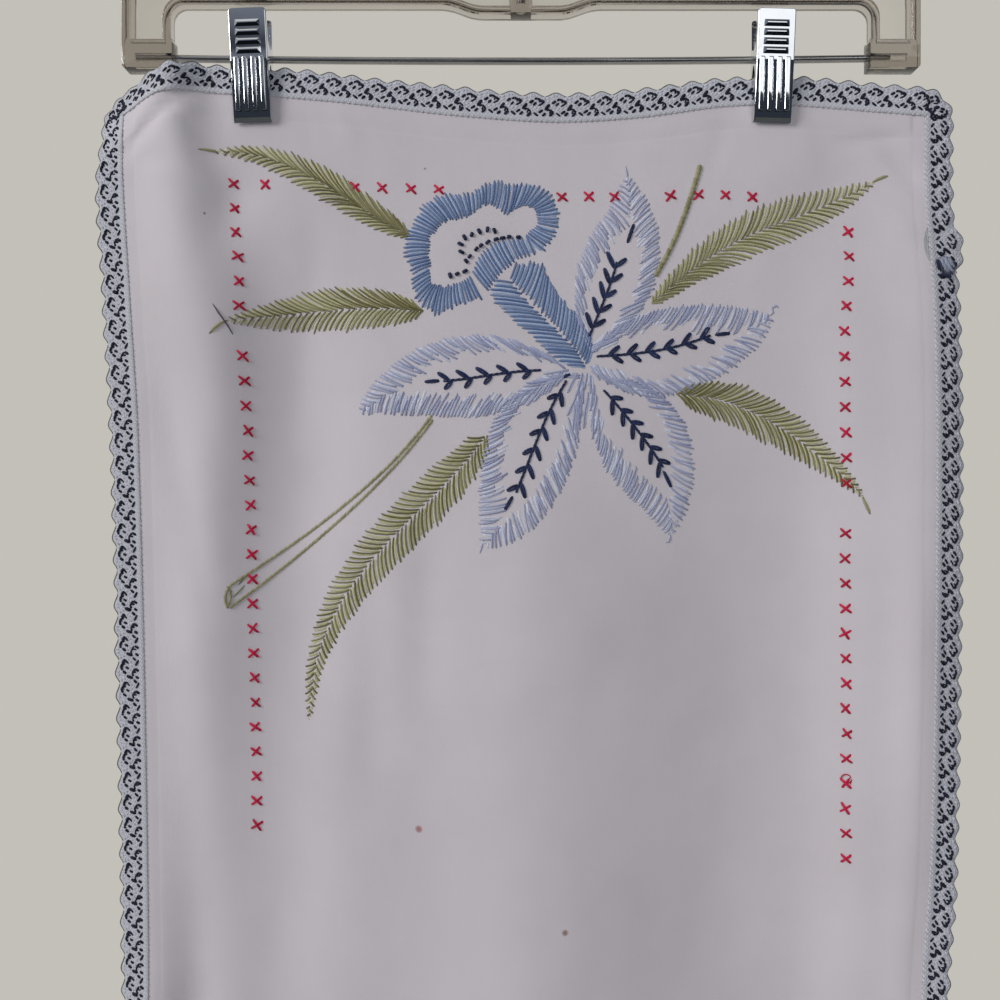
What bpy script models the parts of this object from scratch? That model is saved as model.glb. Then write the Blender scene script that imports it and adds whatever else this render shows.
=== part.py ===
"""Embroidered table runner with a knitted edging, clipped by its short end to a clear plastic hanger.

Blender 4.5, metres, +Z up. X runs to the viewer's right and the front of the cloth faces -Y.
The origin is the point inside the top of the hook that rests on the rail.
The unsewn cloth is described flat: "across" is measured from its lengthwise centreline, to the right,
and "down" from its top hem. drape() says where each flat point hangs.
"""

import math

import bmesh
import bpy
from mathutils import Vector

# Cloth and edging, laid flat
CLOTH_WIDTH = 0.366
CLOTH_LENGTH = 0.892
CLOTH_THICKNESS = 0.0012
SCALLOPS_ACROSS = 36
SCALLOPS_DOWN = 88
EDGING_WIDTH = 0.0106
EDGING_THICKNESS = 0.0012
SCALLOP_DEPTH = 0.0016
SEAM_GAP = 0.0003

# The edging's ends overlap here, on the right side
JOIN_DOWN = 0.070
JOIN_HALF_LENGTH = 0.016
JOIN_BULGE = 0.0040

# Grid lines of the cloth: one to a scallop near the hems, one to two scallops elsewhere
FINE_COLUMNS = 10
FINE_ROWS = 12

# How it hangs
CLOTH_TOP = -0.1335

# across, lift: height of the top hem above CLOTH_TOP
TOP_HEM = [
    (-0.183, -0.0085),
    (-0.168, -0.0024),
    (-0.153, 0.0006),
    (-0.123, 0.0000),
    (-0.092, -0.0024),
    (-0.062, -0.0056),
    (-0.028, -0.0094),
    (0.015, -0.0120),
    (0.055, -0.0098),
    (0.090, -0.0052),
    (0.113, -0.0044),
    (0.140, -0.0058),
    (0.183, -0.0100),
]

# down, left, right: where the two side hems hang
SIDE_HEMS = [
    (0.000, -0.1812, 0.1827),
    (0.040, -0.1797, 0.1826),
    (0.086, -0.1769, 0.1854),
    (0.153, -0.1733, 0.1868),
    (0.333, -0.1693, 0.1854),
    (0.400, -0.1684, 0.1822),
    (0.892, -0.1700, 0.1790),
]

# name, across at its start, bow halfway, across at its end, start, end, half width, depth away from the viewer
FOLDS = [
    ("top left ridge", -0.157, 0.000, -0.156, -0.100, 0.150, 0.017, -0.0078),
    ("left ridge", -0.136, 0.000, -0.180, 0.040, 0.520, 0.017, -0.0056),
    ("pull below the left clip", -0.115, -0.004, -0.141, 0.012, 0.085, 0.011, 0.0028),
    ("long left trough", -0.104, 0.004, -0.130, 0.045, 0.560, 0.023, 0.0058),
    ("faint middle trough", -0.076, 0.000, -0.078, 0.170, 0.340, 0.011, 0.0012),
    ("middle ridge", -0.004, 0.006, -0.020, 0.050, 1.100, 0.042, -0.0064),
    ("broad trough", 0.106, -0.004, 0.102, 0.045, 1.100, 0.046, 0.0096),
    ("right ridge", 0.144, 0.002, 0.140, 0.030, 1.050, 0.022, -0.0048),
    ("right hem ridge", 0.172, 0.000, 0.170, 0.190, 0.960, 0.008, -0.0012),
    ("lower left trough", -0.095, -0.006, -0.105, 0.420, 1.100, 0.034, 0.0070),
    ("lower left ridge", -0.175, 0.004, -0.168, 0.420, 1.050, 0.026, -0.0064),
]
# A fold rises and dies away over this many of its half widths
FOLD_FADE = 4.5

# across, down, reach, depth: corners that curl away from the viewer
CURLS = [
    (-0.190, -0.010, 0.034, 0.0085),
    (0.192, 0.900, 0.050, 0.0060),
]

# Clear plastic hanger
HANGER_HALF = 0.1778
BEAM_TOP = -0.0700
BEAM_UNDERSIDE = -0.0956
DIP_UNDERSIDE = -0.1000
DIP_FLAT_HALF = 0.0205
DIP_HALF = 0.0325
LEG_INSIDE = 0.1566
LEG_END = -0.1244
END_BOX_TOP = -0.1118
END_BOX_LIP = 0.0012
END_BOX_CHAMFER = 0.0015
OUTER_RADIUS = 0.0160
INNER_RADIUS = 0.0062
FRAME_DEPTH = 0.0090
FLANGE = 0.0030
WEB = 0.0016
BOSS_HALF = 0.0045
ARC_STEPS = 6

# Steel rod that carries the clips
ROD_RADIUS = 0.00165
ROD_LEFT = -0.1720
ROD_RIGHT = 0.1650
ROD_END_HEIGHT = -0.1189
ROD_SAG = 0.0012
ROD_HOLE_END = 0.1724
ROD_CLEARANCE = 0.0003

# Hook
HOOK_WIRE = 0.0019
HOOK_INSIDE = 0.0190
HOOK_BEND = 0.0090
HOOK_FOOT = -0.0947
HOOK_END_ANGLE = 205
HOOK_STEP = 9

# Clips: name, place along the rod, tilt in degrees
CLIPS = [
    ("left", -0.1208, -2.1),
    ("right", 0.1128, 1.4),
]
CLIP_WIDTH = 0.0168
BACK_PLATE_WIDTH = 0.0144
PLATE = 0.0009
CLIP_HOLE_RADIUS = 0.0023
SPRING_INSIDE = 0.0020
SPRING_OUTSIDE = 0.0029
SPRING_HALF = 0.0057
GRIP_DEPTH = 0.0150
GRIP_FLAT = 0.0115
GRIP_FREE = 0.0360

# height above the rod, face: how far the plate's outer face stands from the cloth, edge: how far its turned
# side reaches back from that face, or None where the lip has no turned side
CLIP_PROFILE = [
    (0.0200, 0.0080, 0.0020),
    (0.0125, 0.0075, 0.0022),
    (0.0060, 0.0070, 0.0024),
    (0.0030, 0.0067, 0.0084),
    (0.0000, 0.0065, 0.0096),
    (-0.0026, 0.0064, 0.0084),
    (-0.0031, 0.0063, 0.0050),
    (-0.0080, 0.0061, 0.0024),
    (-0.0252, 0.0050, 0.0020),
    (-0.0288, 0.0018, None),
]

SIDES = 16


def smoothstep(low, high, value):
    share = min(1.0, max(0.0, (value - low) / (high - low)))
    return share * share * (3 - 2 * share)


def along(rows, place, column):
    """A smooth curve through one column of a table, straight beyond its ends."""
    places = [row[0] for row in rows]
    values = [row[column] for row in rows]
    last = len(rows) - 1
    slopes = []
    for index in range(last + 1):
        low = max(0, index - 1)
        high = min(last, index + 1)
        slopes.append((values[high] - values[low]) / (places[high] - places[low]))
    if place <= places[0]:
        return values[0] + slopes[0] * (place - places[0])
    if place >= places[last]:
        return values[last] + slopes[last] * (place - places[last])
    start = max(index for index in range(last) if places[index] <= place)
    length = places[start + 1] - places[start]
    share = (place - places[start]) / length
    rise = values[start + 1] - values[start]
    leave = slopes[start] * length - rise
    arrive = rise - slopes[start + 1] * length
    return values[start] + rise * share + share * (1 - share) * ((1 - share) * leave + share * arrive)


def rod_height(x):
    """The rod sags a little between its ends."""
    return ROD_END_HEIGHT - ROD_SAG * (1 - (x / LEG_INSIDE) ** 2)


def slack(across, down):
    """0 where a clip holds the cloth flat, rising to 1 away from both clips."""
    free = 1.0
    for _, x, _ in CLIPS:
        top_left = SIDE_HEMS[0][1]
        top_right = SIDE_HEMS[0][2]
        held = CLOTH_WIDTH * ((x - top_left) / (top_right - top_left) - 0.5)
        distance = math.hypot(across - held, max(0.0, down - GRIP_DEPTH))
        free *= smoothstep(GRIP_FLAT, GRIP_FREE, distance)
    return free


def fold_depth(across, down):
    depth = 0.0
    for _, begins, bow, finishes, start, end, half_width, deep in FOLDS:
        share = min(1.0, max(0.0, (down - start) / (end - start)))
        middle = begins + (finishes - begins) * share + 4 * bow * share * (1 - share)
        fade = FOLD_FADE * half_width
        strength = smoothstep(start, start + fade, down) * (1 - smoothstep(end - fade, end, down))
        depth += deep * strength * math.exp(-(((across - middle) / half_width) ** 2))
    return depth


def curl_depth(across, down):
    return sum(
        deep * (1 - smoothstep(0.0, reach, math.hypot(across - corner, down - level)))
        for corner, level, reach, deep in CURLS
    )


def drape(across, down):
    """Where a flat point of the cloth or of its edging hangs."""
    left = along(SIDE_HEMS, down, 1)
    right = along(SIDE_HEMS, down, 2)
    x = left + (right - left) * (across / CLOTH_WIDTH + 0.5)
    y = slack(across, down) * fold_depth(across, down) + curl_depth(across, down)
    z = CLOTH_TOP + along(TOP_HEM, across, 1) - down
    return Vector((x, y, z))


def material(name, colour, roughness, metallic=0.0, transmission=0.0):
    made = bpy.data.materials.new(name)
    made.use_nodes = True
    shader = made.node_tree.nodes["Principled BSDF"]
    shader.inputs["Base Color"].default_value = (*colour, 1.0)
    shader.inputs["Roughness"].default_value = roughness
    shader.inputs["Metallic"].default_value = metallic
    shader.inputs["Transmission Weight"].default_value = transmission
    made.diffuse_color = (*colour, 1.0)
    return made


def place(name, data, surface):
    """Links a new object of this mesh or curve to the scene."""
    made = bpy.data.objects.new(name, data)
    bpy.context.scene.collection.objects.link(made)
    data.materials.append(surface)
    return made


def finished_mesh(name, bm):
    bmesh.ops.recalc_face_normals(bm, faces=bm.faces)
    mesh = bpy.data.meshes.new(name)
    bm.to_mesh(mesh)
    bm.free()
    mesh.shade_smooth()
    mesh.set_sharp_from_angle(angle=math.radians(40))
    return mesh


def solidify(made, thickness, offset=0.0):
    modifier = made.modifiers.new("thickness", "SOLIDIFY")
    modifier.thickness = thickness
    modifier.offset = offset
    modifier.use_even_offset = True


def cut(made, cutter):
    cutter.hide_render = True
    cutter.display_type = "WIRE"
    modifier = made.modifiers.new(cutter.name, "BOOLEAN")
    modifier.operation = "DIFFERENCE"
    modifier.object = cutter


def grid_lines(count, fine_start, fine_end):
    """Scallop numbers that get a grid line: all of them near the ends, every second one between."""
    return [
        index
        for index in range(count + 1)
        if index <= fine_start or index >= count - fine_end or index % 2 == 0
    ]


def make_cloth(surface):
    """The hemmed cotton sheet, one piece."""
    columns = grid_lines(SCALLOPS_ACROSS, FINE_COLUMNS, FINE_COLUMNS)
    rows = grid_lines(SCALLOPS_DOWN, FINE_ROWS, 0)
    bm = bmesh.new()
    lines = []
    for row in rows:
        down = CLOTH_LENGTH * row / SCALLOPS_DOWN
        line = []
        for column in columns:
            across = CLOTH_WIDTH * (column / SCALLOPS_ACROSS - 0.5)
            line.append(bm.verts.new(drape(across, down)))
        lines.append(line)
    for upper, lower in zip(lines, lines[1:]):
        for index in range(len(columns) - 1):
            bm.faces.new((upper[index], lower[index], lower[index + 1], upper[index + 1]))
    cloth = place("runner_cloth", finished_mesh("runner_cloth", bm), surface)
    solidify(cloth, CLOTH_THICKNESS)
    return cloth


def edging_reach(scallop_share, across, down):
    """How far the edging's outer line stands from the seam: a peak in the middle of each scallop."""
    reach = EDGING_WIDTH - SCALLOP_DEPTH * abs(2 * scallop_share - 1)
    if across > 0:
        away = abs(down - JOIN_DOWN) / JOIN_HALF_LENGTH
        reach += JOIN_BULGE * (1 - smoothstep(0.3, 1.0, away))
    return reach


def edging_side(start, end, outward, scallops):
    """Seam point and outer point of each half scallop along one straight side."""
    stations = []
    for half in range(2 * scallops + 1):
        seam = start.lerp(end, half / (2 * scallops))
        reach = edging_reach((half / 2) % 1, seam.x, seam.y)
        stations.append((seam + outward * SEAM_GAP, seam + outward * reach))
    return stations


def edging_corner(corner, before, after):
    """The edging turns a corner as a fan of two scallops about the cloth's corner."""
    stations = []
    pivot = corner + (before + after) * SEAM_GAP
    for step in range(1, 4):
        angle = math.radians(90 * step / 4)
        outward = before * math.cos(angle) + after * math.sin(angle)
        reach = edging_reach((step / 2) % 1, corner.x, corner.y)
        stations.append((pivot, corner + outward * reach))
    return stations


def make_edging(surface):
    """The knitted band sewn round all four hems, one closed ring with a scalloped outer line."""
    half = CLOTH_WIDTH / 2
    corners = [
        Vector((-half, 0.0)),
        Vector((half, 0.0)),
        Vector((half, CLOTH_LENGTH)),
        Vector((-half, CLOTH_LENGTH)),
    ]
    outwards = [Vector((0, -1)), Vector((1, 0)), Vector((0, 1)), Vector((-1, 0))]
    counts = [SCALLOPS_ACROSS, SCALLOPS_DOWN, SCALLOPS_ACROSS, SCALLOPS_DOWN]
    stations = []
    for side in range(4):
        following = (side + 1) % 4
        stations += edging_side(corners[side], corners[following], outwards[side], counts[side])
        stations += edging_corner(corners[following], outwards[side], outwards[following])

    bm = bmesh.new()
    pairs = []
    for seam, outer in stations:
        if pairs and (seam - last_seam).length < 1e-7:
            inner_vertex = pairs[-1][0]
        else:
            inner_vertex = bm.verts.new(drape(*seam))
        last_seam = seam
        pairs.append((inner_vertex, bm.verts.new(drape(*outer))))
    for (inner, outer), (next_inner, next_outer) in zip(pairs, pairs[1:] + pairs[:1]):
        if inner is next_inner:
            bm.faces.new((inner, next_outer, outer))
        else:
            bm.faces.new((inner, next_inner, next_outer, outer))
    edging = place("edging", finished_mesh("edging", bm), surface)
    solidify(edging, EDGING_THICKNESS)
    return edging


def arc(x, z, radius, start, end, steps):
    """Points (x, z) on an arc, from one angle to another in degrees."""
    points = []
    for step in range(steps + 1):
        angle = math.radians(start + (end - start) * step / steps)
        points.append((x + radius * math.cos(angle), z + radius * math.sin(angle)))
    return points


def half_outline(inset, centre, end, lip):
    """Right half of the hanger's outline, from its underside at x = centre round to its top, moved in by inset."""
    points = [(centre, DIP_UNDERSIDE + inset)]
    for step in range(ARC_STEPS + 1):
        share = step / ARC_STEPS
        rise = (BEAM_UNDERSIDE - DIP_UNDERSIDE) * smoothstep(0, 1, share)
        points.append((DIP_FLAT_HALF + (DIP_HALF - DIP_FLAT_HALF) * share, DIP_UNDERSIDE + inset + rise))
    middle_x = LEG_INSIDE - INNER_RADIUS
    middle_z = BEAM_UNDERSIDE - INNER_RADIUS
    points += arc(middle_x, middle_z, INNER_RADIUS + inset, 90, 0, ARC_STEPS)
    if lip:
        points.append((LEG_INSIDE, END_BOX_TOP))
        points.append((LEG_INSIDE - END_BOX_LIP, END_BOX_TOP - END_BOX_LIP))
        points.append((LEG_INSIDE - END_BOX_LIP, end))
        points.append((HANGER_HALF - END_BOX_CHAMFER, end))
        points.append((HANGER_HALF, end + END_BOX_CHAMFER))
    else:
        points.append((LEG_INSIDE + inset, end))
        points.append((HANGER_HALF - inset, end))
    points += arc(HANGER_HALF - OUTER_RADIUS, BEAM_TOP - OUTER_RADIUS, OUTER_RADIUS - inset, 0, 90, ARC_STEPS)
    points.append((centre, BEAM_TOP - inset))
    return points


def mirrored(points):
    return [(-x, z) for x, z in reversed(points)]


def add_prism(bm, outline, front, back):
    """Adds the outline's solid between two depths."""
    face = bm.faces.new([bm.verts.new((x, front, z)) for x, z in outline])
    grown = bmesh.ops.extrude_face_region(bm, geom=[face])
    moved = [item for item in grown["geom"] if isinstance(item, bmesh.types.BMVert)]
    bmesh.ops.translate(bm, verts=moved, vec=(0, back - front, 0))


def add_cylinder(name, surface, radius, low, high, along_axis):
    """A closed cylinder between two points on a line along X or Z."""
    bm = bmesh.new()
    bmesh.ops.create_cone(
        bm, cap_ends=True, segments=SIDES, radius1=radius, radius2=radius, depth=(high - low).length
    )
    made = place(name, finished_mesh(name, bm), surface)
    made.location = (low + high) / 2
    if along_axis == "X":
        made.rotation_euler = (0, math.pi / 2, 0)
    return made


def make_frame(surface):
    """The hanger's single moulding: a beam with two legs, hollowed on both faces to a thin web."""
    half_depth = FRAME_DEPTH / 2
    right_half = half_outline(0.0, 0.0, LEG_END, True)
    bm = bmesh.new()
    add_prism(bm, right_half[:-1] + mirrored(right_half[1:]), -half_depth, half_depth)
    frame = place("hanger_frame", finished_mesh("hanger_frame", bm), surface)

    pocket = half_outline(FLANGE, BOSS_HALF, END_BOX_TOP, False)
    bm = bmesh.new()
    for outline in (pocket, mirrored(pocket)):
        add_prism(bm, outline, -2 * half_depth, -WEB / 2)
        add_prism(bm, outline, WEB / 2, 2 * half_depth)
    cut(frame, place("frame_pockets", finished_mesh("frame_pockets", bm), surface))

    hole = (ROD_RADIUS + ROD_CLEARANCE) / math.cos(math.pi / SIDES)
    for name, side in (("rod_hole_left", -1), ("rod_hole_right", 1)):
        mouth = Vector((side * (LEG_INSIDE - 2 * END_BOX_LIP), 0, ROD_END_HEIGHT))
        blind_end = Vector((side * ROD_HOLE_END, 0, ROD_END_HEIGHT))
        cut(frame, add_cylinder(name, surface, hole, mouth, blind_end, "X"))
    foot = Vector((0, 0, HOOK_FOOT - ROD_CLEARANCE))
    above = Vector((0, 0, BEAM_TOP + FLANGE))
    hook_hole = (HOOK_WIRE + ROD_CLEARANCE) / math.cos(math.pi / SIDES)
    cut(frame, add_cylinder("hook_hole", surface, hook_hole, foot, above, "Z"))
    return frame


def make_wire(name, route, radius, surface):
    """A round wire along a route."""
    curve = bpy.data.curves.new(name, "CURVE")
    curve.dimensions = "3D"
    curve.bevel_depth = radius
    curve.bevel_resolution = 2
    curve.use_fill_caps = True
    spline = curve.splines.new("POLY")
    spline.points.add(len(route) - 1)
    for point, (x, z) in zip(spline.points, route):
        point.co = (x, 0.0, z, 1.0)
    spline.use_smooth = True
    return place(name, curve, surface)


def rod_route():
    """The rod runs level inside its two holes and sags between the legs."""
    bends = 14
    route = [(ROD_LEFT, ROD_END_HEIGHT)]
    for step in range(bends + 1):
        x = LEG_INSIDE * (2 * step / bends - 1)
        route.append((x, rod_height(x)))
    route.append((ROD_RIGHT, ROD_END_HEIGHT))
    return route


def hook_route():
    """A straight shank, a short bend to the right, then the big bend back over the top to the left."""
    big = HOOK_INSIDE + HOOK_WIRE
    middle = -HOOK_INSIDE
    bend_height = middle - math.sqrt(big**2 + 2 * big * HOOK_BEND)
    turn = math.degrees(math.atan2(middle - bend_height, HOOK_BEND))
    route = [(0.0, HOOK_FOOT)]
    route += arc(HOOK_BEND, bend_height, HOOK_BEND, 180, 180 - turn, 4)
    steps = round((HOOK_END_ANGLE + turn) / HOOK_STEP)
    route += arc(0.0, middle, big, -turn, HOOK_END_ANGLE, steps)[1:]
    return route


def make_plate(name, pivot, width, facing, surface):
    """One jaw of a clip: a face with turned sides, whose lugs go round the rod. facing is -1 in front."""
    half = width / 2
    bm = bmesh.new()
    lines = []
    for height, face, edge in CLIP_PROFILE:
        y = facing * face
        line = [bm.verts.new((-half, y, height)), bm.verts.new((half, y, height))]
        if edge is not None:
            back = y - facing * edge
            line = [bm.verts.new((-half, back, height)), *line, bm.verts.new((half, back, height))]
        lines.append(line)
    for upper, lower in zip(lines, lines[1:]):
        if len(lower) < len(upper):
            upper = upper[1:-1]
        for index in range(len(upper) - 1):
            bm.faces.new((upper[index], lower[index], lower[index + 1], upper[index + 1]))
    mesh = finished_mesh(name, bm)
    # The face looks away from the cloth, so that the thickness grows inwards.
    if facing * sum(polygon.normal.y * polygon.area for polygon in mesh.polygons) < 0:
        mesh.flip_normals()
    plate = place(name, mesh, surface)
    solidify(plate, PLATE, offset=-1.0)
    plate.parent = pivot
    return plate


def make_spring(name, surface):
    """The coil round the rod between a clip's lugs, as the closed sleeve of its outer shape."""
    bm = bmesh.new()
    rings = []
    for x, radius in (
        (-SPRING_HALF, SPRING_OUTSIDE),
        (SPRING_HALF, SPRING_OUTSIDE),
        (SPRING_HALF, SPRING_INSIDE),
        (-SPRING_HALF, SPRING_INSIDE),
    ):
        ring = []
        for side in range(SIDES):
            angle = 2 * math.pi * side / SIDES
            ring.append(bm.verts.new((x, radius * math.cos(angle), radius * math.sin(angle))))
        rings.append(ring)
    for ring, following in zip(rings, rings[1:] + rings[:1]):
        for side in range(SIDES):
            beside = (side + 1) % SIDES
            bm.faces.new((ring[side], following[side], following[beside], ring[beside]))
    return place(name, finished_mesh(name, bm), surface)


def make_clip(side, x, tilt, plate_surface, spring_surface):
    """A sprung clip on the rod: front and back plates, pivoted on the rod, and a spring."""
    pivot = bpy.data.objects.new(f"clip_{side}_pivot", None)
    bpy.context.scene.collection.objects.link(pivot)
    pivot.location = (x, 0, rod_height(x))
    pivot.rotation_euler = (0, math.radians(tilt), 0)
    front = make_plate(f"clip_{side}_front", pivot, CLIP_WIDTH, -1, plate_surface)
    back = make_plate(f"clip_{side}_back", pivot, BACK_PLATE_WIDTH, 1, plate_surface)
    hole = CLIP_HOLE_RADIUS / math.cos(math.pi / SIDES)
    reach = Vector((CLIP_WIDTH, 0, 0))
    cutter = add_cylinder(f"clip_{side}_hole", plate_surface, hole, -reach, reach, "X")
    cutter.parent = pivot
    cut(front, cutter)
    cut(back, cutter)
    spring = make_spring(f"clip_{side}_spring", spring_surface)
    spring.location = (x, 0, rod_height(x))
    spring.rotation_euler = (0, -math.atan(2 * ROD_SAG * x / LEG_INSIDE**2), 0)


def main():
    for made in list(bpy.data.objects):
        bpy.data.objects.remove(made, do_unlink=True)
    cotton = material("white_cotton", (0.78, 0.77, 0.79), 0.9)
    knit = material("blue_and_white_knit", (0.42, 0.44, 0.58), 0.85)
    clear = material("clear_plastic", (0.93, 0.93, 0.91), 0.08, transmission=1.0)
    steel = material("steel_rod", (0.55, 0.55, 0.54), 0.25, metallic=1.0)
    chrome = material("chrome_plate", (0.80, 0.82, 0.84), 0.10, metallic=1.0)
    make_cloth(cotton)
    make_edging(knit)
    make_frame(clear)
    make_wire("hanger_rod", rod_route(), ROD_RADIUS, steel)
    make_wire("hook", hook_route(), HOOK_WIRE, chrome)
    for side, x, tilt in CLIPS:
        make_clip(side, x, tilt, chrome, steel)


main()
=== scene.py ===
# %% [markdown]
# # An embroidered table runner on a clip hanger
# A white cotton runner hangs by its short end from a clear plastic clip hanger. A flower, leaves and a border
# of crosses are stitched on it by hand, and a knitted blue-and-white edging is sewn round its hems. The
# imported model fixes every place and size. Here each part is made again with the detail that can be seen:
# first the camera and the light, then the cloth, the edging and the embroidery, and last the hanger and its
# clips.

# %% Load the fixed model and keep its size
import math
import random

import bmesh
import bpy
from mathutils import Matrix, Vector, noise


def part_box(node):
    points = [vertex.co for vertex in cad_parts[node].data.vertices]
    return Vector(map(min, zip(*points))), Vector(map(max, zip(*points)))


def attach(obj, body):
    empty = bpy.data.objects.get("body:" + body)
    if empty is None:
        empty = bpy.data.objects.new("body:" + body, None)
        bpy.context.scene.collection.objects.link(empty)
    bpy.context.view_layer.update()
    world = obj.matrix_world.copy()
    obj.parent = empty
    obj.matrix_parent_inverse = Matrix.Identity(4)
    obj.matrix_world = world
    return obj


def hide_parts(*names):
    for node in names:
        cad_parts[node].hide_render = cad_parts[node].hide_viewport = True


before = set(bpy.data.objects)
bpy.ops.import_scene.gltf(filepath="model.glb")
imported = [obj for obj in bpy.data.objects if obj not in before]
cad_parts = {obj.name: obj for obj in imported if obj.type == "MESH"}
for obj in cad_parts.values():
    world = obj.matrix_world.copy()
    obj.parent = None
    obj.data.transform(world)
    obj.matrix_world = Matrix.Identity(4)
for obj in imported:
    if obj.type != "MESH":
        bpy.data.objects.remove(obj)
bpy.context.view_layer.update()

# %% [markdown]
# ## Camera, room and light
# The camera stands half a metre in front of the cloth, level with its upper part, and looks straight at it.
# Chrome shows only what it mirrors, so the room has parts: pale behind the runner, dark behind the camera,
# dim blue-grey high on the left, and a pale patch of ceiling above that. The key light stands far away at the
# left and a little above, and rakes over the folds. A weak fill stands in front, a wide low card at the right
# is there for the right clip to mirror, and a last light is for the views from behind.

# %% Camera
bpy.ops.object.camera_add(location=(-0.0094, -0.500, -0.317), rotation=(math.radians(90), 0, 0))
camera = bpy.context.object
camera.data.sensor_width = 36.0
camera.data.lens = 40.1
camera.data.clip_start = 0.01
bpy.context.scene.camera = camera
bpy.context.scene.view_settings.view_transform = "Standard"
print("view is", round(math.degrees(camera.data.angle), 1), "degrees wide")

# %% Room
PALE_WALL = (0.545, 0.528, 0.482, 1.0)
DIM_ROOM = (0.165, 0.180, 0.215, 1.0)
DARK_ROOM = (0.028, 0.034, 0.046, 1.0)
CEILING = (0.620, 0.620, 0.620, 1.0)
world = bpy.data.worlds.new("pale room")
world.use_nodes = True
bpy.context.scene.world = world
room = world.node_tree


def room_node(kind, *sources, **settings):
    """A node of the room with its first inputs linked."""
    made = room.nodes.new("ShaderNode" + kind)
    for name, value in settings.items():
        setattr(made, name, value)
    for source, socket in zip(sources, made.inputs):
        room.links.new(source, socket)
    return made


def share_of(value, low, high):
    """0 to 1 as the direction passes from low to high."""
    made = room_node("MapRange", value, interpolation_type="SMOOTHSTEP")
    made.inputs["From Min"].default_value = low
    made.inputs["From Max"].default_value = high
    return made.outputs["Result"]


def combine(operation, first, second):
    return room_node("Math", first, second, operation=operation).outputs["Value"]


def wall_over(factor, under, over):
    """One colour of wall laid over what is there, where factor is 1."""
    made = room_node("Mix", factor, data_type="RGBA")
    made.inputs["B"].default_value = over
    if isinstance(under, tuple):
        made.inputs["A"].default_value = under
    else:
        room.links.new(under, made.inputs["A"])
    return made.outputs["Result"]


direction = room_node("TexCoord").outputs["Generated"]
x, y, z = room_node("SeparateXYZ", direction).outputs
upper_left = combine("MULTIPLY", share_of(z, 0.19, 0.29), share_of(x, 0.10, -0.08))
to_ceiling = room_node("VectorMath", direction, operation="DOT_PRODUCT")
to_ceiling.inputs[1].default_value = (-0.50, 0.0, 0.86)
seen = room_node("LightPath").outputs
behind_runner = combine("MAXIMUM", share_of(y, -0.15, 0.45), seen["Is Camera Ray"])
through_plastic = combine("MULTIPLY", share_of(y, -0.70, -0.90), seen["Is Transmission Ray"])
walls = wall_over(upper_left, DARK_ROOM, DIM_ROOM)
walls = wall_over(share_of(to_ceiling.outputs["Value"], 0.66, 0.84), walls, CEILING)
walls = wall_over(combine("MAXIMUM", behind_runner, through_plastic), walls, PALE_WALL)
room.links.new(walls, room.nodes["Background"].inputs["Color"])

# %% Soft lights
def add_softbox(name, place, aim, wide, tall, watts, colour, mirrored=True):
    bpy.ops.object.light_add(type="AREA", location=place)
    lamp = bpy.context.object
    lamp.name = name
    lamp.rotation_euler = (Vector(aim) - Vector(place)).to_track_quat("-Z", "Y").to_euler()
    lamp.data.shape = "RECTANGLE"
    lamp.data.size = wide
    lamp.data.size_y = tall
    lamp.data.energy = watts
    lamp.data.color = colour
    lamp.visible_transmission = False
    lamp.visible_glossy = mirrored


add_softbox("key", (-3.20, -2.33, 1.27), (0, 0, -0.40), 1.50, 1.50, 90.0, (1.0, 0.985, 0.965))
add_softbox("fill", (0.35, -1.90, -0.25), (0, 0, -0.45), 1.00, 1.00, 5.6, (0.98, 0.98, 1.0), False)
add_softbox("card", (0.72, -1.43, 0.44), (0.72, 0, 0.10), 1.16, 0.50, 2.1, (1.0, 1.0, 1.0))
add_softbox("back", (0.70, 1.40, 0.50), (0, 0, -0.50), 1.00, 1.00, 10.0, (1.0, 0.99, 0.97), False)
print("4 soft lights")

# %% [markdown]
# ## Helpers for working as by hand
# An operator acts on everything that is selected, so each step first drops the whole selection and then picks
# what it needs by place or by direction. These few helpers add a primitive, enter edit mode, pick, and apply
# what was built.

# %% Selecting and applying
def nothing_selected():
    if bpy.context.mode != "OBJECT":
        bpy.ops.object.mode_set(mode="OBJECT")
    bpy.ops.object.select_all(action="DESELECT")


def alone(piece):
    """Selects this object and nothing else."""
    nothing_selected()
    piece.select_set(True)
    bpy.context.view_layer.objects.active = piece


def add(primitive, **settings):
    """Adds a primitive and puts its place, turn and scale into its mesh."""
    nothing_selected()
    primitive(**settings)
    bpy.ops.object.transform_apply(location=True, rotation=True, scale=True)
    return bpy.context.object


def edit(piece, kind="FACE"):
    """Enters edit mode with nothing selected."""
    alone(piece)
    bpy.ops.object.mode_set(mode="EDIT")
    bpy.ops.mesh.select_mode(type=kind)
    bpy.ops.mesh.select_all(action="DESELECT")


def pick(piece, test):
    """Selects the faces, edges or vertices for which test(centre, normal or direction) is true."""
    shape = bmesh.from_edit_mesh(piece.data)
    kind = bpy.context.tool_settings.mesh_select_mode
    bpy.ops.mesh.select_all(action="DESELECT")
    if kind[2]:
        items = [(face, face.calc_center_median(), face.normal) for face in shape.faces]
    elif kind[1]:
        ends = [(edge, *(vertex.co for vertex in edge.verts)) for edge in shape.edges]
        items = [(edge, (start + end) / 2, end - start) for edge, start, end in ends]
    else:
        items = [(vertex, vertex.co, vertex.normal) for vertex in shape.verts]
    for item, place, way in items:
        if test(place, way):
            item.select_set(True)
    shape.select_flush_mode()
    bmesh.update_edit_mesh(piece.data)


def slice_at(place, normal):
    """Adds a ring of edges where a plane passes through the piece that is being edited."""
    bpy.ops.mesh.select_all(action="SELECT")
    bpy.ops.mesh.bisect(plane_co=place, plane_no=normal)


def extrude(x=0.0, y=0.0, z=0.0):
    bpy.ops.mesh.extrude_region_move(TRANSFORM_OT_translate={"value": (x, y, z)})


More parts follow.
